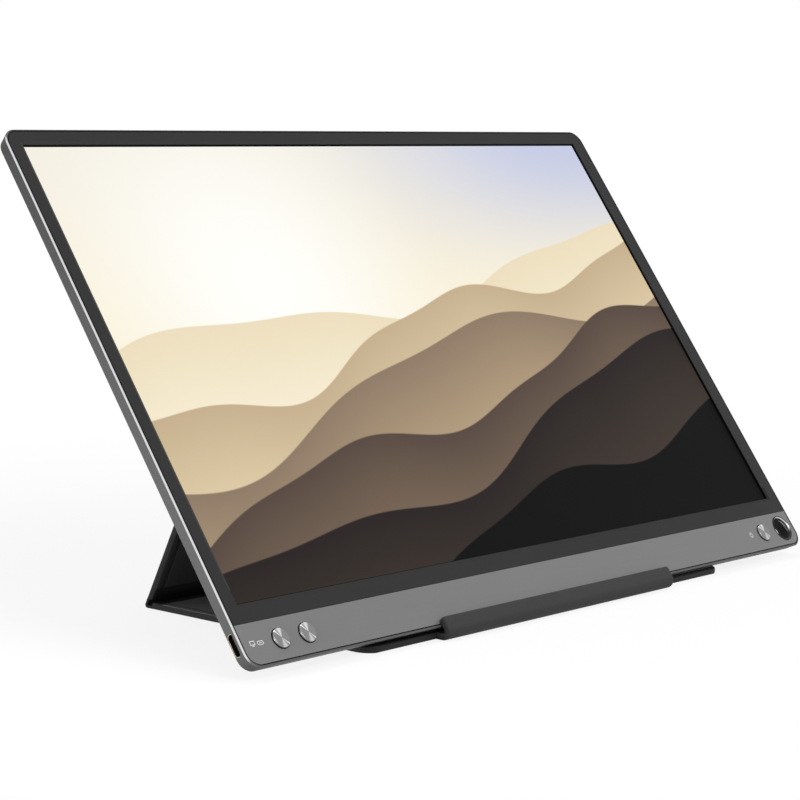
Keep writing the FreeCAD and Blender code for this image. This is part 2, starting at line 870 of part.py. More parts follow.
def make_case():
    back = make_cover(
        "back_panel",
        on_back_panel,
        lambda sketch: add_rounded(
            sketch, "-case_half", "case_half", "top_setback", "back_panel_length", "back_panel_corner"
        ),
        "back_panel_thickness",
    )
    soften(back)
    layers = make_panel_layers(
        "back_panel",
        back,
        on_back_panel,
        "top_setback",
        "back_panel_length",
        "back_panel_corner",
        "(lining_thickness + stand_gap)",
    )
    make_magnets(layers["board"])
    strut_low = "(rear_setback - strut_length)"
    strut = make_cover(
        "strut",
        on_strut,
        lambda sketch: add_rounded(
            sketch, "-case_half", "case_half", strut_low, "-top_setback", "strut_corner"
        ),
        "panel_thickness",
    )
    soften(strut)
    make_panel_layers("strut", strut, on_strut, strut_low, "-top_setback", "strut_corner", "lining_thickness")
    base = make_cover(
        "base",
        on_base,
        lambda sketch: add_loop(
            sketch,
            [
                ("-case_half", "-rear_setback"),
                ("-case_half", "base_front"),
                ("lip_shift - lip_half", "base_front"),
                ("lip_shift - lip_half", "tongue_front"),
                ("lip_shift + lip_half", "tongue_front"),
                ("lip_shift + lip_half", "base_front"),
                ("case_half", "base_front"),
                ("case_half", "-rear_setback"),
            ],
        ),
        "panel_thickness",
    )
    dress(
        base,
        "Fillet",
        "Radius",
        "base_corner",
        lambda edge: upright_at(edge, value("case_half"), value("base_front")),
    )
    make_panel_layers("base", base, on_base, "base_front", "-rear_setback", "base_corner", "lining_thickness")


def make_magnets(board):
    # Flat magnets in windows of the back panel's board, each over a steel plate inside the housing.
    windows = new_sketch(board, "MagnetWindows", "skin_thickness")
    magnets = []
    plates = []
    for side in ("-1", "1"):
        for low in ("magnet_low", "magnet_high"):
            left = f"{side} * magnet_spread - magnet_length / 2"
            add_rectangle(
                windows,
                f"{left} - layer_gap",
                f"{left} + magnet_length + layer_gap",
                f"{low} - layer_gap",
                f"{low} + magnet_height + layer_gap",
            )
            extent = ("magnet_length", "magnet_height", "stiffener_thickness")
            magnets.append(block("Magnet", on_back_panel, (left, low, "skin_thickness"), extent))
            plate_corner = (left, f"fold_height + {low}", "-cavity_depth")
            plate_extent = ("magnet_length", "magnet_height", "keeper_thickness")
            plates.append(block("KeeperPlate", on_screen, plate_corner, plate_extent))
    pocket(board, windows, "stiffener_thickness", backwards=True)
    group("case_magnets", magnets)
    group("keeper_plates", plates)


def make_fold(label, place, width, outer, inner, start, end, tab):
    # A strip bent round the frame's X axis, with a flat tab at each end that meets a panel.
    body = new_body(label, place)
    sketch = new_sketch(body, "Section", plane="YZ_Plane")

    def point(radius, angle, along):
        across = f"{radius} * cos({angle}) - ({along}) * sin({angle})"
        upward = f"{radius} * sin({angle}) + ({along}) * cos({angle})"
        return across, upward

    outer_in = add_line(sketch, point(outer, start, f"-{tab}"), point(outer, start, "0"))
    outer_out = add_line(sketch, point(outer, end, "0"), point(outer, end, tab))
    inner_in = add_line(sketch, point(inner, start, f"-{tab}"), point(inner, start, "0"))
    inner_out = add_line(sketch, point(inner, end, "0"), point(inner, end, tab))
    add_line(sketch, point(outer, start, f"-{tab}"), point(inner, start, f"-{tab}"))
    add_line(sketch, point(outer, end, tab), point(inner, end, tab))
    add_arc(sketch, ("0", "0"), outer, start, end, (outer_in, 2), (outer_out, 1))
    add_arc(sketch, ("0", "0"), inner, start, end, (inner_in, 2), (inner_out, 1))
    pad(body, sketch, width, both_ways=True)


def make_folds():
    panel_fold = ("case_width", "half_panel", "fold_core")
    make_fold("top_fold", on_top_fold, *panel_fold, "90", "(90 + fold_angle)", "top_setback")
    make_fold("rear_fold", on_rear_fold, *panel_fold, "-90", "(90 - strut_lean)", "rear_setback")
    lip_bend = ("lip_width", "bend_radius", "bend_core")
    make_fold("front_bend", on_bend, *lip_bend, "(90 + screen_lean)", "270", "bend_tab")


def make_lip():
    cover = make_cover(
        "lip",
        on_lip,
        lambda sketch: add_rectangle(sketch, "-lip_half", "lip_half", "bend_tab", "flap_length"),
        "panel_thickness",
    )
    dress(
        cover,
        "Fillet",
        "Radius",
        "lip_corner",
        lambda edge: upright_at(edge, value("lip_half"), value("flap_length")),
    )
    slot = new_sketch(cover, "Slot")
    edges = (
        "-lip_half + lip_corner",
        "lip_half - lip_corner",
        "bend_tab + lip_wall",
        "flap_length - lip_wall",
    )
    add_rectangle(slot, *edges)
    pocket(cover, slot, "panel_thickness - lip_wall", backwards=True)
    core = new_body("lip_core", on_lip)
    strip = new_sketch(core, "Strip")
    add_rectangle(strip, *edges)
    pad(core, strip, "panel_thickness - lip_wall", backwards=False)


def write_parts():
    doc.recompute()
    for item in doc.Objects:
        if {"Invalid", "Error"} & set(item.State):
            raise RuntimeError(f"{item.Label} failed: {item.State}")
    for piece in subparts:
        if piece.Shape.isNull() or not piece.Shape.isValid():
            raise RuntimeError(f"{piece.Label} has no valid shape")
    os.makedirs("parts", exist_ok=True)
    for piece in subparts:
        piece.Shape.exportStep(f"parts/{piece.Label}.step")


make_rear_cover()
make_front_plates()
make_screen()
make_boards()
make_controls()
make_receptacle()
make_case()
make_folds()
make_lip()
write_parts()
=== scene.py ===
import json
import math
from functools import reduce
import bmesh
import bpy
from mathutils import Matrix, Vector


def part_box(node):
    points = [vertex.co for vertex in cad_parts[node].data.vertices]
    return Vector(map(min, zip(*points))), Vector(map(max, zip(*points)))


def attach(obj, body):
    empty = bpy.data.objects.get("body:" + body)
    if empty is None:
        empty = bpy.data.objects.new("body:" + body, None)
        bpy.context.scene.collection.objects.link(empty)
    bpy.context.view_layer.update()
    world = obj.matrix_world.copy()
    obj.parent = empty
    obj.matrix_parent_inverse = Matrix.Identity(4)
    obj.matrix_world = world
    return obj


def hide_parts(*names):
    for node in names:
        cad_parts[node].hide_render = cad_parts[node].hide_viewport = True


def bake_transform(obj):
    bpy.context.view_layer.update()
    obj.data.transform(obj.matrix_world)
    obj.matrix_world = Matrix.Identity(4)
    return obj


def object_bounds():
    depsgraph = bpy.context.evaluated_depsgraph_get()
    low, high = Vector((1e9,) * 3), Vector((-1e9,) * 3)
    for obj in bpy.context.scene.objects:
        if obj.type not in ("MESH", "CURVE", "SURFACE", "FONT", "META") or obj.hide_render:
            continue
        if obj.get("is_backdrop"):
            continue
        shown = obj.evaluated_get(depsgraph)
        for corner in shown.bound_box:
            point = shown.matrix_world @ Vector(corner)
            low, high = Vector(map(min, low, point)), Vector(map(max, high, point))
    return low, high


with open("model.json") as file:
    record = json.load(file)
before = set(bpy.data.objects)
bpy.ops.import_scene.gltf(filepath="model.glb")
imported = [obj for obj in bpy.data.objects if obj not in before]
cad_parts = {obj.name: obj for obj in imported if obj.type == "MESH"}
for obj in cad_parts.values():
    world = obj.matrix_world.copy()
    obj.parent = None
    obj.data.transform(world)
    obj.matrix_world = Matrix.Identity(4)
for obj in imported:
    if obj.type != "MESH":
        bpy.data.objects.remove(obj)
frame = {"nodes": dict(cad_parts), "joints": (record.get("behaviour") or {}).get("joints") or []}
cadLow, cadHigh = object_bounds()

mm = 0.001
nodes = frame["nodes"]
joints = {joint["name"]: joint for joint in frame["joints"]}
scene = bpy.context.scene

# the leaning display's own directions, and the middle of its lower front edge
pressIn = Vector(joints["power_button_press"]["axis"])
outFront = -pressIn
upScreen = Vector((0.0, -pressIn.z, pressIn.y))
leanAngle = math.atan2(upScreen.z, upScreen.y)
coverPoints = [point.co for point in nodes["rear_cover"].data.vertices]
lowerEdge = upScreen * min(point.dot(upScreen) for point in coverPoints)
lowerEdge += outFront * max(point.dot(outFront) for point in coverPoints)
displayTurn = Matrix((Vector((1.0, 0.0, 0.0)), upScreen, outFront)).transposed().to_4x4()


def onDisplay(across, up, out):  # millimetres on the display to metres in the frame
    return lowerEdge + (Vector((across, 0.0, 0.0)) + upScreen * up + outFront * out) * mm


def displayPoints(node):  # a node's points as across, up and out of the display, in millimetres
    offs = [point.co - lowerEdge for point in nodes[node].data.vertices]
    return [(off.x / mm, off.dot(upScreen) / mm, off.dot(outFront) / mm) for off in offs]


def displaySpan(node):  # lowest and highest of those
    sides = list(zip(*displayPoints(node)))
    return [min(side) for side in sides], [max(side) for side in sides]


def displayMiddle(node):
    low, high = displaySpan(node)
    return (low[0] + high[0]) / 2, (low[1] + high[1]) / 2


def radiiAbove(node, level):  # how far from a node's middle its points above a level are
    x, y = displayMiddle(node)
    return [math.hypot(across - x, up - y) for across, up, out in displayPoints(node) if out > level]


print("frame read, display leans", round(math.degrees(leanAngle), 1), "degrees")


# camera at the photograph's view
viewpoint = {
    "place": (-0.78507, -0.64495, 0.20024),
    "turn": (84.379, -1.018, -48.496),  # degrees
    "lens": 111.455,
    "sensor": 36.0,
    "shift": (0.05749, -0.06804),
    "clipEnd": 50.0,
}
cameraData = bpy.data.cameras.new("viewCamera")
cameraData.lens = viewpoint["lens"]
cameraData.sensor_width = viewpoint["sensor"]
cameraData.shift_x, cameraData.shift_y = viewpoint["shift"]
cameraData.clip_end = viewpoint["clipEnd"]
viewCamera = bpy.data.objects.new("viewCamera", cameraData)
viewCamera.location = viewpoint["place"]
viewCamera.rotation_euler = [math.radians(angle) for angle in viewpoint["turn"]]
scene.collection.objects.link(viewCamera)
scene.camera = viewCamera
scene.view_settings.view_transform = "Standard"


# small helpers for node trees
def addNode(tree, kind, **settings):
    node = tree.nodes.new(kind)
    for name, value in settings.items():
        setattr(node, name, value)
    return node


def feed(tree, socket, source):  # a link from a socket, or a plain value
    if isinstance(source, bpy.types.NodeSocket):
        tree.links.new(source, socket)
    elif socket.type == "RGBA":
        socket.default_value = (*source, 1.0)
    else:
        socket.default_value = source


def feedAll(tree, node, sources):  # the inputs by their labels
    for label, source in sources.items():
        feed(tree, node.inputs[label], source)
    return node.outputs


def maths(tree, operation, *sources):
    node = addNode(tree, "ShaderNodeMath", operation=operation)
    for socket, source in zip(node.inputs, sources):
        feed(tree, socket, source)
    return node.outputs[0]


def product(tree, *sources):
    return reduce(lambda first, second: maths(tree, "MULTIPLY", first, second), sources)


def total(tree, *sources):
    return reduce(lambda first, second: maths(tree, "ADD", first, second), sources)


def within(tree, source, low, high):  # one between two limits, else zero
    return product(tree, maths(tree, "GREATER_THAN", source, low), maths(tree, "LESS_THAN", source, high))


def distance(tree, across, up):
    squares = [maths(tree, "POWER", side, 2.0) for side in (across, up)]
    return maths(tree, "SQRT", total(tree, *squares))


def remap(tree, source, fromLow, fromHigh, toLow, toHigh, smooth=False):
    node = addNode(tree, "ShaderNodeMapRange", clamp=True)
    if smooth:
        node.interpolation_type = "SMOOTHSTEP"
    for socket, value in zip(node.inputs, (source, fromLow, fromHigh, toLow, toHigh)):
        feed(tree, socket, value)
    return node.outputs[0]


def mixColours(tree, factor, first, second, kind="RGBA", sockets=(0, 6, 7, 2)):
    node = addNode(tree, "ShaderNodeMix", data_type=kind)
    for index, source in zip(sockets, (factor, first, second)):
        feed(tree, node.inputs[index], source)
    return node.outputs[sockets[-1]]


def mixValues(tree, factor, first, second):
    return mixColours(tree, factor, first, second, "FLOAT", (0, 2, 3, 0))


def scaled(tree, vector, factor):  # a place or a colour times a number
    node = addNode(tree, "ShaderNodeVectorMath", operation="SCALE")
    feed(tree, node.inputs[0], vector)
    feed(tree, node.inputs["Scale"], factor)
    return node.outputs[0]


def partsOf(tree, vector):
    parts = addNode(tree, "ShaderNodeSeparateXYZ")
    tree.links.new(vector, parts.inputs[0])
    return parts.outputs


def noise(tree, vector, scale, detail=2.0, rough=0.5):
    node = addNode(tree, "ShaderNodeTexNoise")
    return feedAll(tree, node, {"Vector": vector, "Scale": scale, "Detail": detail, "Roughness": rough})


def newGroup(name, kind, takes, gives):
    group = bpy.data.node_groups.new(name, kind)
    for direction, sockets in (("INPUT", takes), ("OUTPUT", gives)):
        for label, holds in sockets.items():
            group.interface.new_socket(label, in_out=direction, socket_type="NodeSocket" + holds)
    return group, group.nodes.new("NodeGroupInput").outputs, group.nodes.new("NodeGroupOutput").inputs


def useGroup(tree, group, **values):
    return feedAll(tree, addNode(tree, "ShaderNodeGroup", node_tree=group), values)


def newFinish(name):
    finish = bpy.data.materials.new(name)
    finish.use_nodes = True
    tree = finish.node_tree
    return finish, tree, tree.nodes["Principled BSDF"]


def dress(tree, shader, look, height, colour, rough, metal=0.0):  # colour, gloss and bump of a finish
    feedAll(tree, shader, {"Base Color": colour, "Roughness": rough, "Metallic": metal})
    feed(tree, shader.inputs["Specular IOR Level"], look["gloss"])
    bump = addNode(tree, "ShaderNodeBump")
    feedAll(tree, bump, {"Strength": look["bump"], "Distance": look["deep"], "Height": height})
    tree.links.new(bump.outputs[0], shader.inputs["Normal"])


def objectSpot(tree):
    return addNode(tree, "ShaderNodeTexCoord").outputs["Object"]


def displaySpot(tree):  # object coordinates turned into across, up and out of the display, in millimetres
    mapping = addNode(tree, "ShaderNodeMapping", vector_type="POINT")
    turned = feedAll(tree, mapping, {
        "Rotation": (-leanAngle, 0.0, 0.0),
        "Location": (0.0, -lowerEdge.dot(upScreen), -lowerEdge.dot(outFront)),
        "Vector": objectSpot(tree),
    })
    return scaled(tree, turned[0], 1.0 / mm)


def displayPlace(tree):
    return dict(zip(("across", "up", "out"), partsOf(tree, displaySpot(tree))))


def frontFacing(tree):  # one on faces that look straight out of the screen side
    node = addNode(tree, "ShaderNodeVectorMath", operation="DOT_PRODUCT")
    feed(tree, node.inputs[0], addNode(tree, "ShaderNodeNewGeometry").outputs["True Normal"])
    feed(tree, node.inputs[1], outFront)
    return node.outputs["Value"]


# shared effects
def makeFineGrain():  # powdery paint or moulded grain, with slow clouding of tone
    group, takes, gives = newGroup(
        "fineGrain",
        "ShaderNodeTree",
        {"Spot": "Vector", "Scale": "Float", "Clouds": "Float", "Spread": "Float"},
        {"Height": "Float", "Tone": "Float", "Smudge": "Float"},
    )
    grain = noise(group, takes["Spot"], takes["Scale"], 3.0)[0]
    clouds = noise(group, takes["Spot"], takes["Clouds"], 4.0, 0.6)[0]
    both = total(group, product(group, grain, 0.6), product(group, clouds, 0.4))
    low = maths(group, "SUBTRACT", 1.0, takes["Spread"])
    high = maths(group, "ADD", 1.0, takes["Spread"])
    feed(group, gives["Height"], grain)
    feed(group, gives["Tone"], remap(group, both, 0.3, 0.7, low, high))
    feed(group, gives["Smudge"], remap(group, clouds, 0.35, 0.65, 0.0, 1.0, True))
    return group


def makeHideGrain():  # pebbled synthetic leather: cells with creases between them
    group, takes, gives = newGroup(
        "hideGrain",
        "ShaderNodeTree",
        {"Spot": "Vector", "Scale": "Float"},
        {"Height": "Float", "Crease": "Float", "Cloud": "Float"},
    )
    warpBy = (0.0005, 0.0005, 0.0005)
    warp = noise(group, takes["Spot"], 600.0)["Color"]
    shift = addNode(group, "ShaderNodeVectorMath", operation="MULTIPLY_ADD")
    for socket, source in zip(shift.inputs, (warp, warpBy, takes["Spot"])):
        feed(group, socket, source)
    cells = addNode(group, "ShaderNodeTexVoronoi", feature="DISTANCE_TO_EDGE")
    toEdge = feedAll(group, cells, {"Vector": shift.outputs[0], "Scale": takes["Scale"]})["Distance"]
    crease = remap(group, toEdge, 0.0, 0.16, 0.0, 1.0, True)
    fine = noise(group, takes["Spot"], 5200.0)[0]
    cloud = noise(group, takes["Spot"], 34.0, 5.0)[0]
    feed(group, gives["Height"], total(group, product(group, crease, 0.75), product(group, fine, 0.25)))
    feed(group, gives["Crease"], crease)
    feed(group, gives["Cloud"], remap(group, cloud, 0.3, 0.7, 0.0, 1.0))
    return group


fineGrain = makeFineGrain()
hideGrain = makeHideGrain()


def useGrain(tree, look):
    values = {"Scale": look["grain"], "Clouds": look["clouds"], "Spread": look["spread"]}
    return useGroup(tree, fineGrain, Spot=objectSpot(tree), **values)


def smudged(tree, grain, look):  # roughness from clean to smudged
    return remap(tree, grain["Smudge"], 0.0, 1.0, *look["rough"])


# housing tray: powdered grey metal; its rim cut is a polished bevel with a painted highlight along the two
# sides, and a duller grey copy of itself, painted shade, at top and bottom
housingLook = {
    "colour": (0.080, 0.080, 0.082),
    # painted shade: the bevel away from the sides is a duller copy of the polished cut
    "rimPaintedShade": (0.150, 0.150, 0.152),
    "rough": (0.47, 0.55),  # clean and smudged
    "gloss": 0.2,
    "grain": 5200.0, "clouds": 18.0, "spread": 0.05,
    "bump": 0.12, "deep": 0.00003,
    "cutColour": (0.72, 0.72, 0.73),
    "cutRough": 0.18,
    "cutFacing": (0.3, 0.92),  # how much the bevel's faces look to the front
    "cutFrom": -0.62,  # how deep below the front plane the bevel starts, in millimetres
    "paintedCutFade": (1.5, 0.2),  # from the side: where the painted highlight of the bright cut has faded out, and where it is full
}


def makeHousingFinish(look):
    finish, tree, shader = newFinish("housingMetal")
    place = displayPlace(tree)
    grain = useGrain(tree, look)
    nearFront = maths(tree, "GREATER_THAN", place["out"], look["cutFrom"])
    bevel = product(tree, within(tree, frontFacing(tree), *look["cutFacing"]), nearFront)
    widest = displaySpan("rear_cover")[1][0]
    faded, full = look["paintedCutFade"]
    toSide = maths(tree, "ABSOLUTE", place["across"])
    # the polished cut stays bright only along the two sides: a painted highlight
    bright = product(tree, bevel, remap(tree, toSide, widest - faded, widest - full, 0.0, 1.0, True))
    plain = scaled(tree, mixColours(tree, bevel, look["colour"], look["rimPaintedShade"]), grain["Tone"])
    colour = mixColours(tree, bright, plain, look["cutColour"])
    rough = mixValues(tree, bright, smudged(tree, grain, look), look["cutRough"])
    dress(tree, shader, look, grain["Height"], colour, rough, bright)
    return finish


# bezel: dark moulded frame, with painted shade blacking the walls of its opening, and painted light above and
# painted shade at the foot of its chamfer
bezelLook = {
    "colour": (0.0235, 0.0235, 0.024),
    # painted shade: near black on faces that do not look out of the front, such as the opening's walls
    "wall": (0.002, 0.002, 0.002),
    "chamferPaintedLight": (0.034, 0.034, 0.0345),
    "chamferPaintedShade": (0.017, 0.017, 0.0175),
    "chamferFacing": (0.5, 0.97),  # how much the chamfer's faces look to the front
    "chamferFrom": 30.0,  # height that parts the chamfer's painted shade at the foot from its painted light above, in millimetres
    "rough": (0.56, 0.65),
    "gloss": 0.14,
    "grain": 3600.0, "clouds": 20.0, "spread": 0.07,
    "bump": 0.3, "deep": 0.00004,
}


def makeBezelFinish(look):
    finish, tree, shader = newFinish("bezelPlastic")
    grain = useGrain(tree, look)
    facing = frontFacing(tree)
    low, high = look["chamferFacing"]
    front = maths(tree, "GREATER_THAN", facing, low)
    # painted light above and painted shade at the foot of the chamfer
    upper = maths(tree, "GREATER_THAN", displayPlace(tree)["up"], look["chamferFrom"])
    cut = mixColours(tree, upper, look["chamferPaintedShade"], look["chamferPaintedLight"])
    faced = mixColours(tree, front, look["wall"], look["colour"])
    colour = scaled(tree, mixColours(tree, within(tree, facing, low, high), faced, cut), grain["Tone"])
    dress(tree, shader, look, grain["Height"], colour, smudged(tree, grain, look))
    return finish


# chin strip: satin grey with the faintest lengthways brushing
chinLook = {
    "colour": (0.19, 0.19, 0.19),
    "brush": 0.04,
    "strokes": (0.03, 9.0, 9.0),  # how fine the brushing is along, up and out
    "rough": (0.52, 0.60),
    "gloss": 0.2,
    "grain": 5600.0, "clouds": 14.0, "spread": 0.035,
    "bump": 0.1, "deep": 0.00003,
}


def makeChinFinish(look):
    finish, tree, shader = newFinish("chinMetal")
    grain = useGrain(tree, look)
    stretch = addNode(tree, "ShaderNodeMapping", vector_type="POINT")
    strokes = feedAll(tree, stretch, {"Scale": look["strokes"], "Vector": displaySpot(tree)})[0]
    lines = noise(tree, strokes, 1.0, 3.0)[0]
    streak = remap(tree, lines, 0.3, 0.7, 1.0 - look["brush"], 1.0 + look["brush"])
    colour = scaled(tree, look["colour"], product(tree, grain["Tone"], streak))
    dress(tree, shader, look, grain["Height"], colour, smudged(tree, grain, look))
    return finish


# lit screen: a drawn landscape of soft ridges
pictureLook = {
    "skyLow": (0.95, 0.88, 0.70),
    "skyHigh": (0.90, 0.86, 0.76),
    "skyFar": (0.56, 0.60, 0.78),  # upper right
    "skyRise": (0.55, 1.0),
    "skyTurn": (0.35, 0.95),
    "glow": (1.0, 1.0, 0.965),
    "glowAt": (0.27, 0.66),
    "glowWide": 0.58,
    "glowShape": 1.6,
    "border": 2.9,  # dark margin of the panel, most of it behind the bezel, in millimetres
    "face": 0.05,  # how thick the lit face is taken to be, in millimetres
    "dark": (0.0, 0.0, 0.0),
    "strength": 1.0,
    "glass": (0.002, 0.002, 0.0022),
    "rough": (0.42, 0.5),
    "gloss": 0.025,
    "grain": 9000.0, "clouds": 10.0, "spread": 0.02,
    "bump": 0.04, "deep": 0.00001,
    "ridgeParts": ("Height", "Slope", "Swing", "Waves", "Phase", "Crest", "Foot", "Fade"),
    "ridges": [
        (0.50, 0.22, 0.050, 1.30, 0.4, (0.84, 0.73, 0.51), (0.95, 0.87, 0.68), 0.24),
        (0.36, 0.36, 0.045, 1.70, 2.1, (0.56, 0.43, 0.27), (0.86, 0.72, 0.47), 0.32),
        (0.28, 0.33, 0.060, 1.15, 4.0, (0.27, 0.195, 0.135), (0.60, 0.45, 0.27), 0.36),
        (0.14, 0.40, 0.040, 1.60, 5.6, (0.095, 0.066, 0.052), (0.29, 0.205, 0.135), 0.38),
        (0.02, 0.42, 0.050, 1.25, 1.2, (0.022, 0.017, 0.016), (0.070, 0.050, 0.038), 0.36),
        (-0.16, 0.46, 0.045, 1.45, 3.1, (0.003, 0.003, 0.0035), (0.006, 0.005, 0.005), 0.42),
    ],
}


def makeRidgeLayer(parts):
    takes = {"Across": "Float", "Up": "Float", "Under": "Color"}
    takes.update({part: "Color" if part in ("Crest", "Foot") else "Float" for part in parts})
    group, takes, gives = newGroup("ridgeLayer", "ShaderNodeTree", takes, {"Color": "Color"})
    turn = total(group, product(group, takes["Across"], takes["Waves"], 2.0 * math.pi), takes["Phase"])
    slow = product(group, maths(group, "SINE", turn), takes["Swing"])
    fast = maths(group, "SINE", product(group, turn, 2.3))
    fast = product(group, fast, product(group, takes["Swing"], 0.28))
    rising = total(group, takes["Height"], product(group, takes["Across"], takes["Slope"]))
    line = total(group, rising, total(group, slow, fast))
    below = maths(group, "SUBTRACT", line, takes["Up"])
    inside = remap(group, below, -0.002, 0.002, 0.0, 1.0, True)
    sunk = addNode(group, "ShaderNodeMath", operation="DIVIDE", use_clamp=True)
    group.links.new(below, sunk.inputs[0])
    group.links.new(takes["Fade"], sunk.inputs[1])
    body = mixColours(group, sunk.outputs[0], takes["Crest"], takes["Foot"])
    feed(group, gives["Color"], mixColours(group, inside, takes["Under"], body))
    return group


def makePictureFinish(look):
    finish, tree, shader = newFinish("litScreen")
    place = displayPlace(tree)
    cellLow, cellHigh = displaySpan("lcd_cell")
    sides = list(zip(("across", "up"), cellLow, cellHigh))
    across, up = [remap(tree, place[side], low, high, 0.0, 1.0) for side, low, high in sides]
    raised = remap(tree, up, *look["skyRise"], 0.0, 1.0, True)
    far = remap(tree, across, *look["skyTurn"], 0.0, 1.0, True)
    high = mixColours(tree, far, look["skyHigh"], look["skyFar"])
    colour = mixColours(tree, raised, look["skyLow"], high)
    sideways = product(tree, maths(tree, "SUBTRACT", across, look["glowAt"][0]), look["glowShape"])
    upright = maths(tree, "SUBTRACT", up, look["glowAt"][1])
    glow = remap(tree, distance(tree, sideways, upright), 0.0, look["glowWide"], 1.0, 0.0, True)
    colour = mixColours(tree, glow, colour, look["glow"])
    ridgeLayer = makeRidgeLayer(look["ridgeParts"])
    for ridge in look["ridges"]:
        shape = dict(zip(look["ridgeParts"], ridge))
        colour = useGroup(tree, ridgeLayer, Across=across, Up=up, Under=colour, **shape)["Color"]
    lit = maths(tree, "GREATER_THAN", place["out"], cellHigh[2] - look["face"])
    for side, low, high in sides:
        lit = product(tree, lit, within(tree, place[side], low + look["border"], high - look["border"]))
    feedAll(tree, shader, {
        "Emission Color": mixColours(tree, lit, look["dark"], colour),
        "Emission Strength": look["strength"],
    })
    grain = useGrain(tree, look)
    dress(tree, shader, look, grain["Height"], look["glass"], smudged(tree, grain, look))
    return finish


# port: plated rim, its throat darkened with depth by painted shade
portLook = {
    "rim": (0.50, 0.45, 0.33),
    "rimRough": 0.3,
    "throat": (0.03, 0.028, 0.022),
    "throatRough": 0.7,
    "paintedShadeDepth": (0.175, 0.35),  # depth over which painted shade turns the rim dark, in millimetres
    "grain": 5200.0, "clouds": 60.0, "spread": 0.04,
}


def makePortFinish(look):
    finish, tree, shader = newFinish("portSteelPaintedShade")
    mouth = displaySpan("usb_shell")[0][0]
    deep = maths(tree, "SUBTRACT", displayPlace(tree)["across"], mouth)
    # painted shade: the shell grows dark deeper into the port
    inside = remap(tree, deep, *look["paintedShadeDepth"], 0.0, 1.0)
    colour = mixColours(tree, inside, look["rim"], look["throat"])
    feedAll(tree, shader, {
        "Base Color": scaled(tree, colour, useGrain(tree, look)["Tone"]),
        "Metallic": 1.0,
        "Roughness": mixValues(tree, inside, look["rimRough"], look["throatRough"]),
    })
    return finish


# plain finishes: what they share, then the colour, roughness, grain, differences and wearers of each
plainBase = {"clouds": 25.0, "spread": 0.06, "metal": 0.0, "gloss": 0.4, "bump": 0.3, "deep": 0.00004}
plainLooks = {
    "gasketFoam": ((0.02, 0.02, 0.021), 0.95, 1800.0, {"bump": 0.8, "deep": 0.0002}, ["bezel_gasket"]),
    "sheetSteel": (
        (0.55, 0.55, 0.56), 0.35, 2600.0, {"metal": 1.0}, ["panel_chassis", "shield_can", "keeper_plates"]
    ),
    "clearFilm": ((0.72, 0.73, 0.74), 0.3, 5000.0, {"gloss": 0.5}, ["diffuser_films"]),
    "guideAcrylic": ((0.78, 0.79, 0.8), 0.12, 900.0, {"gloss": 0.5, "bump": 0.1}, ["light_guide"]),
    "whiteFilm": ((0.8, 0.8, 0.78), 0.6, 4000.0, {}, ["reflector_sheet"]),
    "boardGreen": (
        (0.012, 0.085, 0.04), 0.4, 700.0, {"spread": 0.3, "gloss": 0.5},
        ["led_bar", "timing_board", "main_board", "power_board"],
    ),
    "chipBlack": ((0.015, 0.015, 0.016), 0.5, 5000.0, {}, ["scaler_chip", "power_coil"]),
    "ribbonAmber": ((0.32, 0.13, 0.02), 0.4, 2000.0, {"spread": 0.15}, ["power_ribbon", "panel_ribbon"]),
    "screwSteel": ((0.6, 0.6, 0.62), 0.3, 3000.0, {"metal": 1.0}, ["board_screws"]),
    "switchPlastic": ((0.03, 0.03, 0.032), 0.5, 4200.0, {}, ["left_switches", "power_switch"]),
    "portPlastic": ((0.012, 0.012, 0.013), 0.45, 5200.0, {}, ["usb_tongue"]),
    "magnetPlate": ((0.5, 0.5, 0.5), 0.3, 2400.0, {"metal": 1.0}, ["case_magnets"]),
    "signInk": ((0.72, 0.72, 0.71), 0.6, 6000.0, {}, []),
    "contactGold": ((0.30, 0.20, 0.07), 0.4, 6000.0, {"metal": 1.0, "bump": 0.1}, []),
}


def plainFinish(name, colour, rough, scale, differences):  # grain, clouded tone and smudged gloss
    look = {**plainBase, "grain": scale, "rough": (rough * 0.92, min(1.0, rough * 1.1)), **differences}
    finish, tree, shader = newFinish(name)
    grain = useGrain(tree, look)
    toned = scaled(tree, colour, grain["Tone"])
    dress(tree, shader, look, grain["Height"], toned, smudged(tree, grain, look), look["metal"])
    return finish


def wear(node, finish):  # gives a node that stays one finish
    nodes[node].data.materials.clear()
    nodes[node].data.materials.append(finish)


plainFinishes = {}
for name, (*look, wearers) in plainLooks.items():
    plainFinishes[name] = plainFinish(name, *look)
    for node in wearers:
        wear(node, plainFinishes[name])
wear("rear_cover", makeHousingFinish(housingLook))
wear("front_bezel", makeBezelFinish(bezelLook))
wear("chin_panel", makeChinFinish(chinLook))
wear("lcd_cell", makePictureFinish(pictureLook))
wear("usb_shell", makePortFinish(portLook))
print("finishes set on the nodes that stay")


# pieces grown by geometry nodes
def growMesh(name, tree, values):
    piece = bpy.data.objects.new(name, bpy.data.meshes.new(name))
    scene.collection.objects.link(piece)
    grower = piece.modifiers.new("grow", "NODES")
    grower.node_group = tree
    for item in tree.interface.items_tree:
        if item.item_type == "SOCKET" and item.in_out == "INPUT":
            grower[item.identifier] = values[item.name]
    piece.update_tag()
    bpy.context.view_layer.update()
    graph = bpy.context.evaluated_depsgraph_get()
    grown = bpy.data.meshes.new_from_object(piece.evaluated_get(graph), depsgraph=graph)
    piece.modifiers.remove(grower)
    piece.data = grown
    return piece


def newGrower(name, takes):
    return newGroup(name, "GeometryNodeTree", {**takes, "Finish": "Material"}, {"Geometry": "Geometry"})


def closeGrower(tree, geometry, takes, gives):  # every tree ends in real faces with their finish
    real = addNode(tree, "GeometryNodeRealizeInstances")
    tree.links.new(geometry, real.inputs[0])
    dressed = addNode(tree, "GeometryNodeSetMaterial")
    feedAll(tree, dressed, {"Geometry": real.outputs[0], "Material": takes["Finish"]})
    tree.links.new(dressed.outputs[0], gives[0])


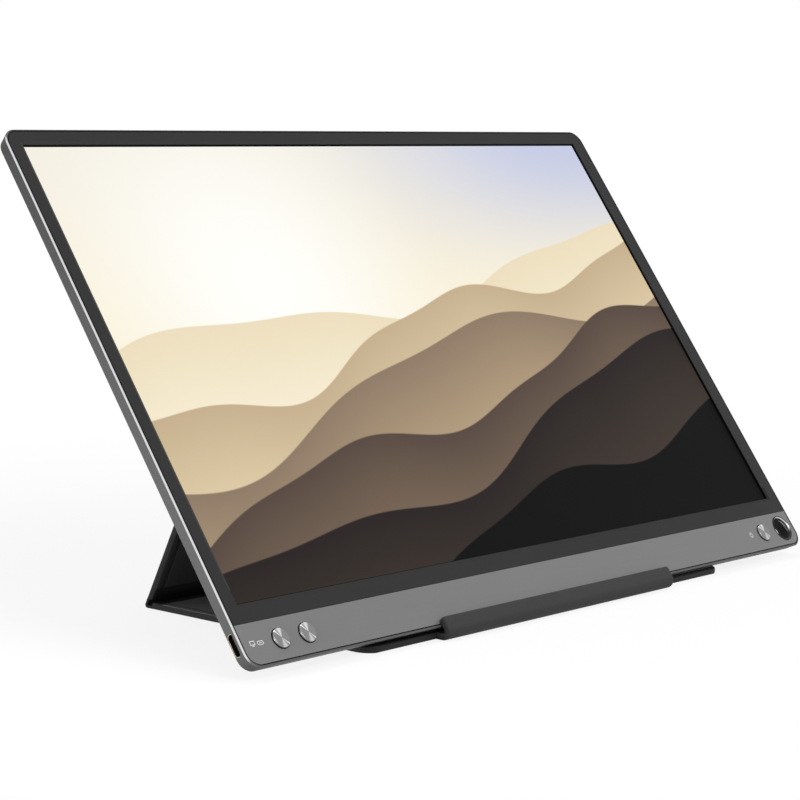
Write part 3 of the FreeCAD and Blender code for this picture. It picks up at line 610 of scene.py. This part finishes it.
def profileCurve(tree, levels, along):  # straight from level to level, evenly spaced
    curve = addNode(tree, "ShaderNodeFloatCurve")
    points = curve.mapping.curves[0].points
    last = len(levels) - 1
    for step, level in enumerate(levels):
        if step in (0, last):
            point = points[0 if step == 0 else len(points) - 1]
            point.location = (step / last, level)
        else:
            point = points.new(step / last, level)
        point.handle_type = "VECTOR"
    curve.mapping.update()
    tree.links.new(along, curve.inputs["Value"])
    return curve.outputs[0]


def makeTurner(name, profile):  # a profile of radius and height, both from 0 to 1, goes round
    weldWithin = 0.000001
    takes = {"Turns": "Int", "Steps": "Int", "Radius": "Float", "Height": "Float"}
    tree, takes, gives = newGrower(name, takes)
    sheet = addNode(tree, "GeometryNodeMeshGrid")
    feedAll(tree, sheet, {"Size X": 1.0, "Size Y": 1.0})
    feedAll(tree, sheet, {"Vertices X": takes["Turns"], "Vertices Y": takes["Steps"]})
    kept = addNode(tree, "GeometryNodeStoreNamedAttribute", data_type="FLOAT2", domain="CORNER")
    uvMap = sheet.outputs["UV Map"]
    feedAll(tree, kept, {"Name": "turning", "Geometry": sheet.outputs["Mesh"], "Value": uvMap})
    place = partsOf(tree, addNode(tree, "GeometryNodeInputPosition").outputs[0])
    angle = product(tree, total(tree, place[0], 0.5), 2.0 * math.pi)
    along = total(tree, place[1], 0.5)
    away, up = [
        product(tree, profileCurve(tree, levels, along), takes[size])
        for levels, size in zip(zip(*profile), ("Radius", "Height"))
    ]
    spun = addNode(tree, "ShaderNodeCombineXYZ")
    feedAll(tree, spun, {
        "X": product(tree, away, maths(tree, "COSINE", angle)),
        "Y": product(tree, away, maths(tree, "SINE", angle)),
        "Z": up,
    })
    moved = addNode(tree, "GeometryNodeSetPosition")
    feedAll(tree, moved, {"Geometry": kept.outputs[0], "Position": spun.outputs[0]})
    merged = addNode(tree, "GeometryNodeMergeByDistance")
    feedAll(tree, merged, {"Distance": weldWithin, "Geometry": moved.outputs[0]})
    closeGrower(tree, merged.outputs[0], takes, gives)
    return tree


def turnPiece(name, profile, turns, radius, tall, finish, place):  # turned about Z, then stood on the display
    piece = growMesh(name, makeTurner(name + "Turner", profile), {
        "Turns": turns + 1,
        "Steps": len(profile),
        "Radius": radius * mm,
        "Height": tall * mm,
        "Finish": finish,
    })
    piece.data.transform(Matrix.Translation(onDisplay(*place)) @ displayTurn)
    bm = bmesh.new()
    bm.from_mesh(piece.data)
    bmesh.ops.recalc_face_normals(bm, faces=bm.faces)
    bm.to_mesh(piece.data)
    bm.free()
    piece.data.shade_smooth()
    piece.data.update()
    return piece


# three pressed buttons of spun metal, with painted highlight fans in their colour
buttonLook = {
    "turns": 96,
    "rounding": 0.5,
    "dish": 0.06,  # how far the face sinks to its middle
    "skirt": 1.2,  # wall that goes down into the chin
    "faceSteps": 16,
    "roundSteps": 12,
    "wallSteps": 4,
    # dark is the metal between the highlights; bright is the colour of the painted highlights
    "dark": (0.25, 0.25, 0.253),
    "bright": (0.92, 0.92, 0.93),
    # painted highlights: direction, half width, strength
    "paintedHighlightFans": ((90.0, 34.0, 0.75), (270.0, 34.0, 0.55), (128.0, 9.0, 1.0), (308.0, 9.0, 0.8)),
    "marks": 160.0,  # turning marks from the middle to the foot
    "wander": 1.5,  # how much a mark changes on its way round
    "tone": (0.86, 1.06),
    "rough": (0.25, 0.36),
    "gloss": 0.5,
    "bump": 0.08, "deep": 0.00002,
}


def makeButtonFinish(look):
    finish, tree, shader = newFinish("spunMetalPaintedHighlights")
    turn, along = partsOf(tree, addNode(tree, "ShaderNodeUVMap", uv_map="turning").outputs[0])[:2]
    paintedHighlightFans = 0.0
    # bright sectors painted into the colour by angle stand in for the spun metal's highlights
    for direction, half, strength in look["paintedHighlightFans"]:
        off = maths(tree, "ABSOLUTE", maths(tree, "SUBTRACT", turn, direction / 360.0))
        paintedHighlightFans = maths(tree, "MAXIMUM", paintedHighlightFans, remap(tree, off, 0.0, half / 360.0, strength, 0.0, True))
    marks = addNode(tree, "ShaderNodeCombineXYZ")
    feedAll(tree, marks, {"X": product(tree, along, look["marks"]), "Y": product(tree, turn, look["wander"])})
    lines = noise(tree, marks.outputs[0], 1.0)[0]
    tone, rough = [remap(tree, lines, 0.3, 0.7, *look[ends]) for ends in ("tone", "rough")]
    colour = scaled(tree, mixColours(tree, paintedHighlightFans, look["dark"], look["bright"]), tone)
    dress(tree, shader, look, lines, colour, rough, 1.0)
    return finish


def capProfile(radius, rise, look):  # from the middle of the face to the foot of the wall
    spots = []
    rounding, foot = look["rounding"], -look["skirt"]
    flat = radius - rounding
    for step in range(look["faceSteps"] + 1):
        away = flat * step / look["faceSteps"]
        spots.append((away, rise - look["dish"] * (1.0 - (away / flat) ** 2)))
    for step in range(1, look["roundSteps"] + 1):
        bend = math.radians(90.0 * step / look["roundSteps"])
        spots.append((flat + rounding * math.sin(bend), rise - rounding * (1.0 - math.cos(bend))))
    wallTop = rise - rounding
    for step in range(1, look["wallSteps"] + 1):
        spots.append((radius, wallTop + (foot - wallTop) * step / look["wallSteps"]))
    return [(away / radius, (up - foot) / (rise - foot)) for away, up in spots]


buttonMetal = makeButtonFinish(buttonLook)
chinTop = displaySpan("chin_panel")[1][2]
for side in ("menu", "select", "power"):
    node = side + "_button"
    rise = displaySpan(node)[1][2] - chinTop
    radius = max(radiiAbove(node, chinTop - 0.02))
    foot = chinTop - buttonLook["skirt"]
    profile = capProfile(radius, rise, buttonLook)
    sizes = (buttonLook["turns"], radius, chinTop + rise - foot)
    cap = turnPiece(side + "Cap", profile, *sizes, buttonMetal, (*displayMiddle(node), foot))
    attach(cap, node)
    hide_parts(node)
print("three buttons turned, radius", round(radius, 2))


# sleeve of the pen hole: painted shadow on the rim, a painted highlight on the upper right of the throat,
# black bore
sleeveLook = {
    "turns": 96,
    "bevel": 0.45,
    "rounding": 0.05,
    "throat": 1.8,  # how deep the throat's painted highlight goes
    "bright": (0.55, 0.55, 0.56),
    "dark": (0.008, 0.008, 0.009),
    "brightRough": 0.22,
    "paintedHighlightSide": 0.03,  # share of the painted highlight that is left opposite the bright side
    "paintedHighlightTurn": (0.45, 1.1),  # from where to where round the hole the painted highlight grows
    "darkRough": 0.6,
    "gloss": 0.3,
    "grain": 6000.0, "clouds": 120.0, "spread": 0.05,
    "bump": 0.05, "deep": 0.00002,
}


def makeSleeveFinish(look, middle, top, mouth):
    finish, tree, shader = newFinish("sleeveMetalPaintedLight")
    place = displayPlace(tree)
    grain = useGrain(tree, look)
    sideways = maths(tree, "SUBTRACT", place["across"], middle[0])
    upright = maths(tree, "SUBTRACT", place["up"], middle[1])
    away = distance(tree, sideways, upright)
    rim = mouth + look["bevel"]
    # painted shadow: the flat rim outside the mouth stays dark, standing for the gap round the sleeve
    inMouth = remap(tree, away, rim - 0.06, rim - 0.01, 1.0, 0.0)
    throatEnd = top - look["throat"]
    shallow = remap(tree, place["out"], throatEnd - 0.05, throatEnd + 0.05, 0.0, 1.0)
    side = maths(tree, "DIVIDE", total(tree, sideways, upright), away)
    # painted highlight: only the upper right of the throat is bright
    paintedHighlightMask = remap(tree, side, *look["paintedHighlightTurn"], look["paintedHighlightSide"], 1.0, True)
    bright = product(tree, inMouth, shallow, paintedHighlightMask)
    colour = scaled(tree, mixColours(tree, bright, look["dark"], look["bright"]), grain["Tone"])
    rough = mixValues(tree, bright, look["darkRough"], look["brightRough"])
    dress(tree, shader, look, grain["Height"], colour, rough, bright)
    return finish


def sleeveProfile(outer, mouth, tall, look):  # round the sleeve's section, closed on itself
    bevel, rounded = look["bevel"], look["rounding"]
    lip = mouth + bevel
    spots = [(outer, 0.0), (outer, tall * 0.5), (outer, tall - 0.3), (outer, tall - rounded)]
    spots += [(outer - rounded * 0.3, tall - rounded * 0.3), (outer - rounded, tall)]
    spots += [(lip + 0.03, tall), (lip - 0.02, tall - 0.02), (mouth + bevel * 0.5, tall - bevel * 0.5)]
    spots += [(mouth + 0.03, tall - bevel + 0.03), (mouth, tall - bevel - 0.04)]
    spots += [(mouth, tall - look["throat"]), (mouth, tall * 0.5), (mouth, tall * 0.2), (mouth, 0.0)]
    spots += [((mouth + outer) / 2, 0.0), (outer, 0.0)]
    return [(away / outer, up / tall) for away, up in spots]


low, high = displaySpan("pen_hole_ring")
sleeveMiddle = displayMiddle("pen_hole_ring")
sleeveOuter = (high[0] - low[0]) / 2
sleeveBore = min(radiiAbove("pen_hole_ring", low[2] - 1.0))
sleeveTall = high[2] - low[2]
profile = sleeveProfile(sleeveOuter, sleeveBore, sleeveTall, sleeveLook)
sizes = (sleeveLook["turns"], sleeveOuter, sleeveTall)
sleeveMetalPaintedLight = makeSleeveFinish(sleeveLook, sleeveMiddle, high[2], sleeveBore)
sleeve = turnPiece("penSleeve", profile, *sizes, sleeveMetalPaintedLight, (*sleeveMiddle, low[2]))
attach(sleeve, "display")
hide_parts("pen_hole_ring")
print("pen sleeve turned, bore", round(sleeveBore * 2, 2), "mm")


# case: one folded sheet, walked from the top of the back panel to the lip, in millimetres
caseLook = {
    "rounding": 0.75,
    "border": 4.6,
    "seamWide": 0.3,
    "seamDeep": 0.1,
    "fieldDrop": 0.03,
    "foldSkin": 0.85,
    "rearSkin": 1.2,  # thicker where the prop meets the base
    "foldRamp": 0.7,
    "backGap": 0.04,  # kept between the back panel and the housing
    "backCorner": 6.0,
    "baseCorner": 7.0,
    "lipCorner": 1.2,
    "topSetback": 1.12,  # from the fold's axis to where the panels begin
    "rearSetback": 2.39,
    "bendGap": 2.19,  # the tongue that carries the lip's bend
}
skinBase = {"gloss": 0.22, "deep": 0.00006, "paintedFootShade": 0.0}
skinLooks = {
    "caseHide": {"colour": (0.014, 0.014, 0.0145), "rough": 0.62, "grain": 1300.0, "bump": 0.45},
    "caseLining": {"colour": (0.042, 0.042, 0.043), "rough": 0.85, "grain": 2600.0, "bump": 0.35},
    # the same lining made lighter for the base: painted light where shade falls
    "liningPaintedLit": {"colour": (0.15, 0.148, 0.151), "rough": 0.85, "grain": 2600.0, "bump": 0.35},
    # painted shade at the foot of the lip: height of the darkened band, in millimetres
    "lipHide": {"colour": (0.040, 0.040, 0.040), "rough": 0.65, "grain": 2400.0, "bump": 0.2, "paintedFootShade": 1.3},
}


def makeSkinFinish(name, look):
    finish, tree, shader = newFinish(name)
    hide = useGroup(tree, hideGrain, Spot=objectSpot(tree), Scale=look["grain"])
    # the grain's creases are darkened: painted shade
    paintedCreaseShade = remap(tree, hide["Crease"], 0.0, 1.0, 0.72, 1.0)
    shade = product(tree, paintedCreaseShade, remap(tree, hide["Cloud"], 0.0, 1.0, 0.9, 1.1))
    # painted shade: darker towards the bottom edge
    if look["paintedFootShade"]:
        foot = look["paintedFootShade"] * mm
        height = partsOf(tree, objectSpot(tree))[2]
        shade = product(tree, shade, remap(tree, height, foot * 0.4, foot, 0.15, 1.0))
    rough = remap(tree, hide["Cloud"], 0.0, 1.0, look["rough"] - 0.05, look["rough"] + 0.05)
    dress(tree, shader, look, hide["Height"], scaled(tree, look["colour"], shade), rough)
    return finish


skins = {name: makeSkinFinish(name, {**skinBase, **look}) for name, look in skinLooks.items()}
baseLow, baseHigh = [[side / mm for side in corner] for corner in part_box("base_cover")]
lipLow, lipHigh = [[side / mm for side in corner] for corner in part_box("lip_cover")]
halfThick = (baseHigh[2] - baseLow[2]) / 2
caseHalf = baseHigh[0]
lipHalf = (lipHigh[0] - lipLow[0]) / 2
lipMiddle = (lipHigh[0] + lipLow[0]) / 2
hingeTop, hingeRear, hingeLip = [
    Vector(joints[name]["pos_m"][1:]) / mm for name in ("stand_fold", "base_fold", "lip_fold")
]
strutRun = (hingeRear - hingeTop).length
strutHeading = math.atan2(hingeRear.y - hingeTop.y, hingeRear.x - hingeTop.x)
backHeading = leanAngle - math.pi
baseHeading = -math.pi
lipHeading = leanAngle - 2.0 * math.pi


def heading2d(angle):
    return Vector((math.cos(angle), math.sin(angle)))


def flatOf(vector):
    return Vector((vector.y, vector.z))


def fromEdge(point, direction):  # how far along a direction of the display a point is from its lower edge
    return (point - flatOf(lowerEdge) / mm).dot(flatOf(direction))


# a station is where the sheet's middle is, which way it runs, its two faces and its half width
def station(place, angle, faces, half, drop=0.0, seamed=False):
    made = {"place": place, "angle": angle, "faces": faces, "half": half, "seamAt": None}
    return {**made, "field": faces[1] - drop, "seamed": seamed}


def endDistances(corner, look):
    marks = [look["rounding"] * (1.0 - math.cos(math.radians(15.0 * step))) for step in range(7)]
    marks += [corner * (1.0 - math.cos(math.radians(9.0 * step))) for step in range(1, 11)]
    if corner > look["border"]:
        seam = look["seamWide"]
        marks += [look["border"] + shift for shift in (-0.15, 0.1, seam, seam + 0.3)]
    marks.sort()
    return [mark for index, mark in enumerate(marks) if index == 0 or mark - marks[index - 1] > 0.008]


def arcReach(radius, away):  # how wide a corner of a radius is at a distance from the edge
    return math.sqrt(max(0.0, radius ** 2 - max(0.0, radius - away) ** 2))


def endStations(edge, angle, inward, faces, half, corner, look, lined):  # from an edge of the sheet inwards
    border = look["border"]
    made = []
    for away in endDistances(corner, look):
        drop = look["rounding"] - arcReach(look["rounding"], away)
        place = edge + heading2d(angle) * (away * inward)
        reach = half - corner + arcReach(corner, away)
        spot = station(place, angle, (faces[0] + drop, faces[1] - drop), reach)
        if lined and away > border:
            spot["seamed"] = away > border + look["seamWide"] + 0.2
            spot["field"] = faces[1] - look["fieldDrop" if spot["seamed"] else "seamDeep"]
        if corner > border:
            tight = max(0.0, (corner - border) ** 2 - max(0.0, corner - away) ** 2)
            spot["seamAt"] = half - corner + math.sqrt(tight) if away < corner else half - border
        made.append(spot)
    return made


def panelStations(origin, angle, fromMark, toMark, faces, lined, rampAt, rampTo):
    length = toMark - fromMark
    ramp = caseLook["foldRamp"]
    border = ramp + caseLook["border"]
    seam = border + caseLook["seamWide"]
    edge = [(0.0, "thin"), (ramp, "rim"), (border, "rim"), (border + 0.1, "seam")]
    edge += [(seam, "seam"), (seam + 0.25, "field"), (seam + 1.2, "field")]
    head = edge if rampAt else [(0.0, "field")]
    tail = [(length - mark, kind) for mark, kind in reversed(edge)] if rampTo else [(length, "field")]
    low, high = head[-1][0], tail[0][0]
    middle = [(low + (high - low) * step / 5.0, "field") for step in range(1, 5)]
    sunk = {"field": caseLook["fieldDrop"], "seam": caseLook["seamDeep"]} if lined else {}
    made = []
    for mark, kind in head + middle + tail:
        here = faces
        if kind == "thin":
            here = rampAt if mark < length / 2 else rampTo
        place = origin + heading2d(angle) * (fromMark + mark)
        made.append(station(place, angle, here, caseHalf, sunk.get(kind, 0.0), lined and kind == "field"))
    return made


def foldStations(place, fromAngle, toAngle, steps, faces):
    angles = [fromAngle + (toAngle - fromAngle) * step / steps for step in range(1, steps)]
    return [station(place, angle, faces, caseHalf) for angle in angles]


def ringSpots(spot, look):  # right half of the sheet's section, from the lining's middle to the back's
    half, (outer, inner) = spot["half"], spot["faces"]
    seamAt = half - look["border"] if spot["seamAt"] is None else spot["seamAt"]
    rounding = min(look["rounding"], (inner - outer) * 0.49)
    seam = inner - look["seamDeep"] if spot["seamed"] else min(spot["field"], inner)
    seamFrom = seamAt - look["seamWide"]
    spots = [(seamAt - 1.2, spot["field"]), (seamFrom - 0.2, spot["field"])]
    spots += [(seamFrom, seam), (seamAt - 0.1, seam), (seamAt + 0.05, inner)]
    spots += [(max(seamAt + 0.1, half - rounding - 0.3), inner)]
    for start, level in ((90.0, inner - rounding), (0.0, outer + rounding)):
        for step in range(5):
            bend = math.radians(start - 22.5 * step)
            spots.append((half - rounding + rounding * math.cos(bend), level + rounding * math.sin(bend)))
    spots += [(half - rounding - 0.3, outer), (seamAt - 1.2, outer)]
    return spots


def pieceFrom(bm, name, finishes):
    bmesh.ops.recalc_face_normals(bm, faces=bm.faces)
    mesh = bpy.data.meshes.new(name)
    bm.to_mesh(mesh)
    bm.free()
    for finish in finishes:
        mesh.materials.append(finish)
    piece = bpy.data.objects.new(name, mesh)
    scene.collection.objects.link(piece)
    return piece


def makeSheet(name, stations, look, finishes, middle=0.0, liningOf=()):
    bm = bmesh.new()
    rings = []
    for spot in stations:
        run = heading2d(spot["angle"])
        normal = Vector((run.y, -run.x))  # towards the lining
        right = ringSpots(spot, look)
        ring = []
        for across, level in right + [(-across, level) for across, level in reversed(right)]:
            flat = spot["place"] + normal * level
            ring.append(bm.verts.new(((middle + across) * mm, flat.x * mm, flat.y * mm)))
        rings.append(ring)
    count = len(rings[0])
    for first, second, spot, after in zip(rings, rings[1:], stations, stations[1:]):
        for index in range(count):
            follow = (index + 1) % count
            face = bm.faces.new((first[index], first[follow], second[follow], second[index]))
            face.smooth = True
            onLining = index == count - 1 or min(index, count - 2 - index) in range(8)
            if onLining and spot["seamed"] and after["seamed"] and spot["angle"] in liningOf:
                face.material_index = liningOf[spot["angle"]]
    for ring in (rings[0], rings[-1]):
        for edge in bm.faces.new(ring).edges:
            edge.smooth = False
    return pieceFrom(bm, name, finishes)


topSetback, rearSetback, bendGap = [caseLook[gap] for gap in ("topSetback", "rearSetback", "bendGap")]
backHigh = displaySpan("back_panel_cover")[1]
backTop = backHigh[1] - fromEdge(hingeTop, upScreen)
backInner = backHigh[2] - fromEdge(hingeTop, outFront) - caseLook["backGap"]
backFaces = (-halfThick, backInner)
panelFaces = (-halfThick, halfThick)
topFaces = (halfThick - caseLook["foldSkin"], halfThick)  # the top fold's skin is on the display's side
rearFaces = (-halfThick, caseLook["rearSkin"] - halfThick)  # the rear fold's is outside

# back panel, top fold and the upper half of the prop
afterCorner = 1.0
corner = caseLook["backCorner"]
afterEnd = corner + afterCorner
backStart = hingeTop - heading2d(backHeading) * backTop
backEnd = backTop - topSetback
stations = endStations(backStart, backHeading, 1.0, backFaces, caseHalf, corner, caseLook, False)
stations += panelStations(backStart, backHeading, afterEnd, backEnd, backFaces, False, None, topFaces)
stations += foldStations(hingeTop, backHeading, strutHeading, 10, topFaces)
stations += panelStations(hingeTop, strutHeading, topSetback, strutRun / 2, panelFaces, True, topFaces, None)
caseBack = makeSheet(
    "caseBack", stations, caseLook, (skins["caseHide"], skins["caseLining"]), liningOf={strutHeading: 1}
)
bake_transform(caseBack)
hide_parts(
    "back_panel_cover", "back_panel_board", "back_panel_lining", "top_fold",
    "strut_cover", "strut_board", "strut_lining",
)

# lower half of the prop, rear fold and the base
corner = caseLook["baseCorner"]
strutEnd = strutRun - rearSetback
baseFront = hingeRear.x - baseLow[1] - bendGap
baseEnd = baseFront - corner - afterCorner
frontEdge = hingeRear + heading2d(baseHeading) * baseFront
stations = panelStations(hingeTop, strutHeading, strutRun / 2, strutEnd, panelFaces, True, None, rearFaces)
stations += foldStations(hingeRear, strutHeading, baseHeading, 14, rearFaces)
stations += panelStations(hingeRear, baseHeading, rearSetback, baseEnd, panelFaces, True, rearFaces, None)
stations += reversed(endStations(frontEdge, baseHeading, -1.0, panelFaces, caseHalf, corner, caseLook, True))
# the base takes the painted-light copy of the lining
caseBase = makeSheet(
    "caseBase", stations, caseLook, (skins["caseHide"], skins["caseLining"], skins["liningPaintedLit"]),
    liningOf={strutHeading: 1, baseHeading: 2},
)
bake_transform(caseBase)
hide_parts("rear_fold", "base_cover", "base_board", "base_lining")

# lip: from the base's front edge round the bend and up in front of the screen's edge
lipLook = dict(caseLook, rounding=0.6, bendSteps=15, lead=(bendGap + 1.4, bendGap + 0.4, 0.6, 0.0))
bendMiddle = hingeLip.y - halfThick
flapRun = displaySpan("lip_cover")[1][1] - fromEdge(hingeLip, upScreen)
stations = []
for mark in lipLook["lead"]:
    stations.append(station(Vector((hingeLip.x + mark, halfThick)), baseHeading, panelFaces, lipHalf))
for step in range(1, lipLook["bendSteps"] + 1):
    angle = baseHeading + (lipHeading - baseHeading) * step / lipLook["bendSteps"]
    run = heading2d(angle)
    flapStart = hingeLip - Vector((run.y, -run.x)) * bendMiddle
    stations.append(station(flapStart, angle, panelFaces, lipHalf))
flapEdge = flapStart + run * flapRun
corner = lipLook["lipCorner"]
stations += reversed(endStations(flapEdge, lipHeading, -1.0, panelFaces, lipHalf, corner, lipLook, False))
caseLip = makeSheet("caseLip", stations, lipLook, (skins["lipHide"], skins["lipHide"]), lipMiddle)
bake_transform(caseLip)
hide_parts("front_bend", "lip_cover", "lip_core")
print("case folded from three sheets, prop", round(strutRun, 1), "mm")


# printed signs on the chin
signLook = {
    "thick": 0.03,
    "sunk": 0.01,
    "scale": 0.8,
    "powerAt": (144.7, 9.0),
    "screenAt": (-173.85, 9.2),
    "portAt": (-170.0, 8.95),
}


def makeSign(name, plates, at, look):
    bm = bmesh.new()
    for plate in plates:
        spots = [(at[0] + x * look["scale"], at[1] + y * look["scale"]) for x, y in plate]
        lower, upper = [
            [bm.verts.new(onDisplay(*spot, level)) for spot in spots]
            for level in (chinTop - look["sunk"], chinTop + look["thick"])
        ]
        bm.faces.new(lower)
        bm.faces.new(upper)
        for index in range(len(plate)):
            follow = (index + 1) % len(plate)
            bm.faces.new((lower[index], lower[follow], upper[follow], upper[index]))
    piece = pieceFrom(bm, name, [plainFinishes["signInk"]])
    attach(piece, "display")
    return piece


def arcBand(radius, wide, fromAngle, toAngle, steps):
    turns = [math.radians(fromAngle + (toAngle - fromAngle) * step / steps) for step in range(steps + 1)]
    near, far = radius - wide / 2, radius + wide / 2
    plates = []
    for first, second in zip(turns, turns[1:]):
        corners = ((near, first), (far, first), (far, second), (near, second))
        plates.append([(away * math.cos(turn), away * math.sin(turn)) for away, turn in corners])
    return plates


def bar(x0, y0, x1, y1):
    return [(x0, y0), (x1, y0), (x1, y1), (x0, y1)]


def moved(plates, right):
    return [[(x + right, y) for x, y in plate] for plate in plates]


powerPlates = arcBand(1.25, 0.4, 125.0, 415.0, 28) + [bar(-0.2, 0.2, 0.2, 1.8)]
screenPlates = [bar(-1.5, 0.95, 1.5, 1.3), bar(-1.5, -0.8, 1.5, -0.45)]
screenPlates += [bar(-1.5, -0.45, -1.15, 0.95), bar(1.15, -0.45, 1.5, 0.95)]
screenPlates += [bar(-0.25, -1.15, 0.25, -0.8), bar(-0.85, -1.45, 0.85, -1.15)]
portPlates = moved(arcBand(0.85, 0.34, 90.0, 270.0, 14), -0.95)
portPlates += moved(arcBand(0.85, 0.34, -90.0, 90.0, 14), 0.95)
portPlates += [bar(-0.95, 0.68, 0.95, 1.02), bar(-0.95, -1.02, 0.95, -0.68), bar(-0.9, -0.18, 0.9, 0.18)]
for name, plates in (("power", powerPlates), ("screen", screenPlates), ("port", portPlates)):
    makeSign(name + "Sign", plates, signLook[name + "At"], signLook)
print("signs printed")


# contacts on the port's tongue
contactLook = {
    "count": 12,
    "pitch": 0.5,
    "long": 2.6,
    "wide": 0.26,
    "thick": 0.06,
    "inset": 0.4,  # from the tongue's tip
    "tip": 0.3,  # stretch of the tongue that its thickness is read from
}


def makeContactRow():
    takes = {"Count": "Int", "Pitch": "Vector", "Size": "Vector", "Start": "Vector"}
    tree, takes, gives = newGrower("contactRow", takes)
    line = addNode(tree, "GeometryNodeMeshLine", mode="OFFSET")
    feedAll(tree, line, {"Count": takes["Count"], "Start Location": takes["Start"], "Offset": takes["Pitch"]})
    pad = addNode(tree, "GeometryNodeMeshCube")
    tree.links.new(takes["Size"], pad.inputs["Size"])
    laid = addNode(tree, "GeometryNodeInstanceOnPoints")
    feedAll(tree, laid, {"Points": line.outputs[0], "Instance": pad.outputs["Mesh"]})
    closeGrower(tree, laid.outputs[0], takes, gives)
    return tree


tipEnd = displaySpan("usb_tongue")[0][0]
tipLevels = [out for across, up, out in displayPoints("usb_tongue") if across < tipEnd + contactLook["tip"]]
contactAcross = tipEnd + contactLook["inset"] + contactLook["long"] / 2
contactUp = displayMiddle("usb_tongue")[1]
contactRow = makeContactRow()
for side, level in (("front", max(tipLevels)), ("rear", min(tipLevels))):
    contacts = growMesh(side + "Contacts", contactRow, {
        "Count": contactLook["count"],
        "Pitch": (0.0, contactLook["pitch"] * mm, 0.0),
        "Size": [contactLook[size] * mm for size in ("long", "wide", "thick")],
        "Start": (0.0, -contactLook["pitch"] * (contactLook["count"] - 1) / 2 * mm, 0.0),
        "Finish": plainFinishes["contactGold"],
    })
    contacts.data.transform(Matrix.Translation(onDisplay(contactAcross, contactUp, level)) @ displayTurn)
    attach(contacts, "display")
print("contacts laid on the tongue")


# studio: pale floor, white surround, soft lamps
studio = {
    "floorSize": 12.0,
    "floorDrop": 0.0001,
    "floorColour": (0.36, 0.36, 0.36),  # as the object sees it
    "floorShown": (0.96, 0.96, 0.96),  # as the camera sees it
    "floorRough": 0.9,
    "floorWhite": 0.84,  # share of plain white that the camera sees in the floor beside the object
    "floorFade": (0.20, 0.55),  # metres from the object over which that share grows to all of it
    "white": (1.0, 1.0, 1.0),
    "ambient": 0.42,
    # name, place, size, watts, whether it shows in gloss
    "lamps": [
        ("keyLamp", (-0.25, -1.35, 1.15), 0.8, 11.0, True),
        ("fillLamp", (1.05, -0.85, 0.75), 0.7, 6.0, False),
        ("topLamp", (0.0, 0.35, 1.35), 1.0, 5.0, True),
        ("lowLamp", (-0.34, -0.03, 0.03), 0.12, 0.42, True),
    ],
    "aim": (0.0, 0.0, 0.09),
}


def whiteRays(tree):  # one for camera, glossy and transmission rays
    path = addNode(tree, "ShaderNodeLightPath").outputs
    seen = maths(tree, "MAXIMUM", path["Is Camera Ray"], path["Is Glossy Ray"])
    return maths(tree, "MAXIMUM", seen, path["Is Transmission Ray"])


surround = bpy.data.worlds.new("surround")
surround.use_nodes = True
scene.world = surround
tree = surround.node_tree
backdrop = mixValues(tree, whiteRays(tree), studio["ambient"], 1.0)
feedAll(tree, tree.nodes["Background"], {"Color": studio["white"], "Strength": backdrop})

half = studio["floorSize"] / 2
corners = [(x, y, -studio["floorDrop"]) for x, y in bar(-half, -half, half, half)]
floorMesh = bpy.data.meshes.new("floor")
floorMesh.from_pydata(corners, [], [(0, 1, 2, 3)])
floor = bpy.data.objects.new("floor", floorMesh)
scene.collection.objects.link(floor)
floor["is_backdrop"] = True
floorFinish, tree, shader = newFinish("paleFloor")
feedAll(tree, shader, {
    "Base Color": mixColours(tree, whiteRays(tree), studio["floorColour"], studio["floorShown"]),
    "Roughness": studio["floorRough"],
    "Specular IOR Level": 0.0,
})
glowing = addNode(tree, "ShaderNodeEmission")
feed(tree, glowing.inputs["Color"], studio["white"])
reach = addNode(tree, "ShaderNodeVectorMath", operation="LENGTH")
tree.links.new(objectSpot(tree), reach.inputs[0])
share = remap(tree, reach.outputs["Value"], *studio["floorFade"], studio["floorWhite"], 1.0, True)
blended = addNode(tree, "ShaderNodeMixShader")
shown = product(tree, whiteRays(tree), share)
for socket, source in zip(blended.inputs, (shown, shader.outputs[0], glowing.outputs[0])):
    tree.links.new(source, socket)
tree.links.new(blended.outputs[0], tree.nodes["Material Output"].inputs["Surface"])
floorMesh.materials.append(floorFinish)

for name, place, size, watts, inGloss in studio["lamps"]:
    lampData = bpy.data.lights.new(name, "AREA")
    lampData.shape = "DISK"
    lampData.size = size
    lampData.energy = watts
    lamp = bpy.data.objects.new(name, lampData)
    lamp.location = place
    lamp.visible_camera = False
    lamp.visible_glossy = inGloss
    lamp.rotation_euler = (Vector(studio["aim"]) - Vector(place)).to_track_quat("-Z", "Y").to_euler()
    scene.collection.objects.link(lamp)
print("studio lit by", len(studio["lamps"]), "lamps")

dressedLow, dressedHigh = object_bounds()
sizes = {"cad": [list(cadLow), list(cadHigh)], "visual": [list(dressedLow), list(dressedHigh)]}
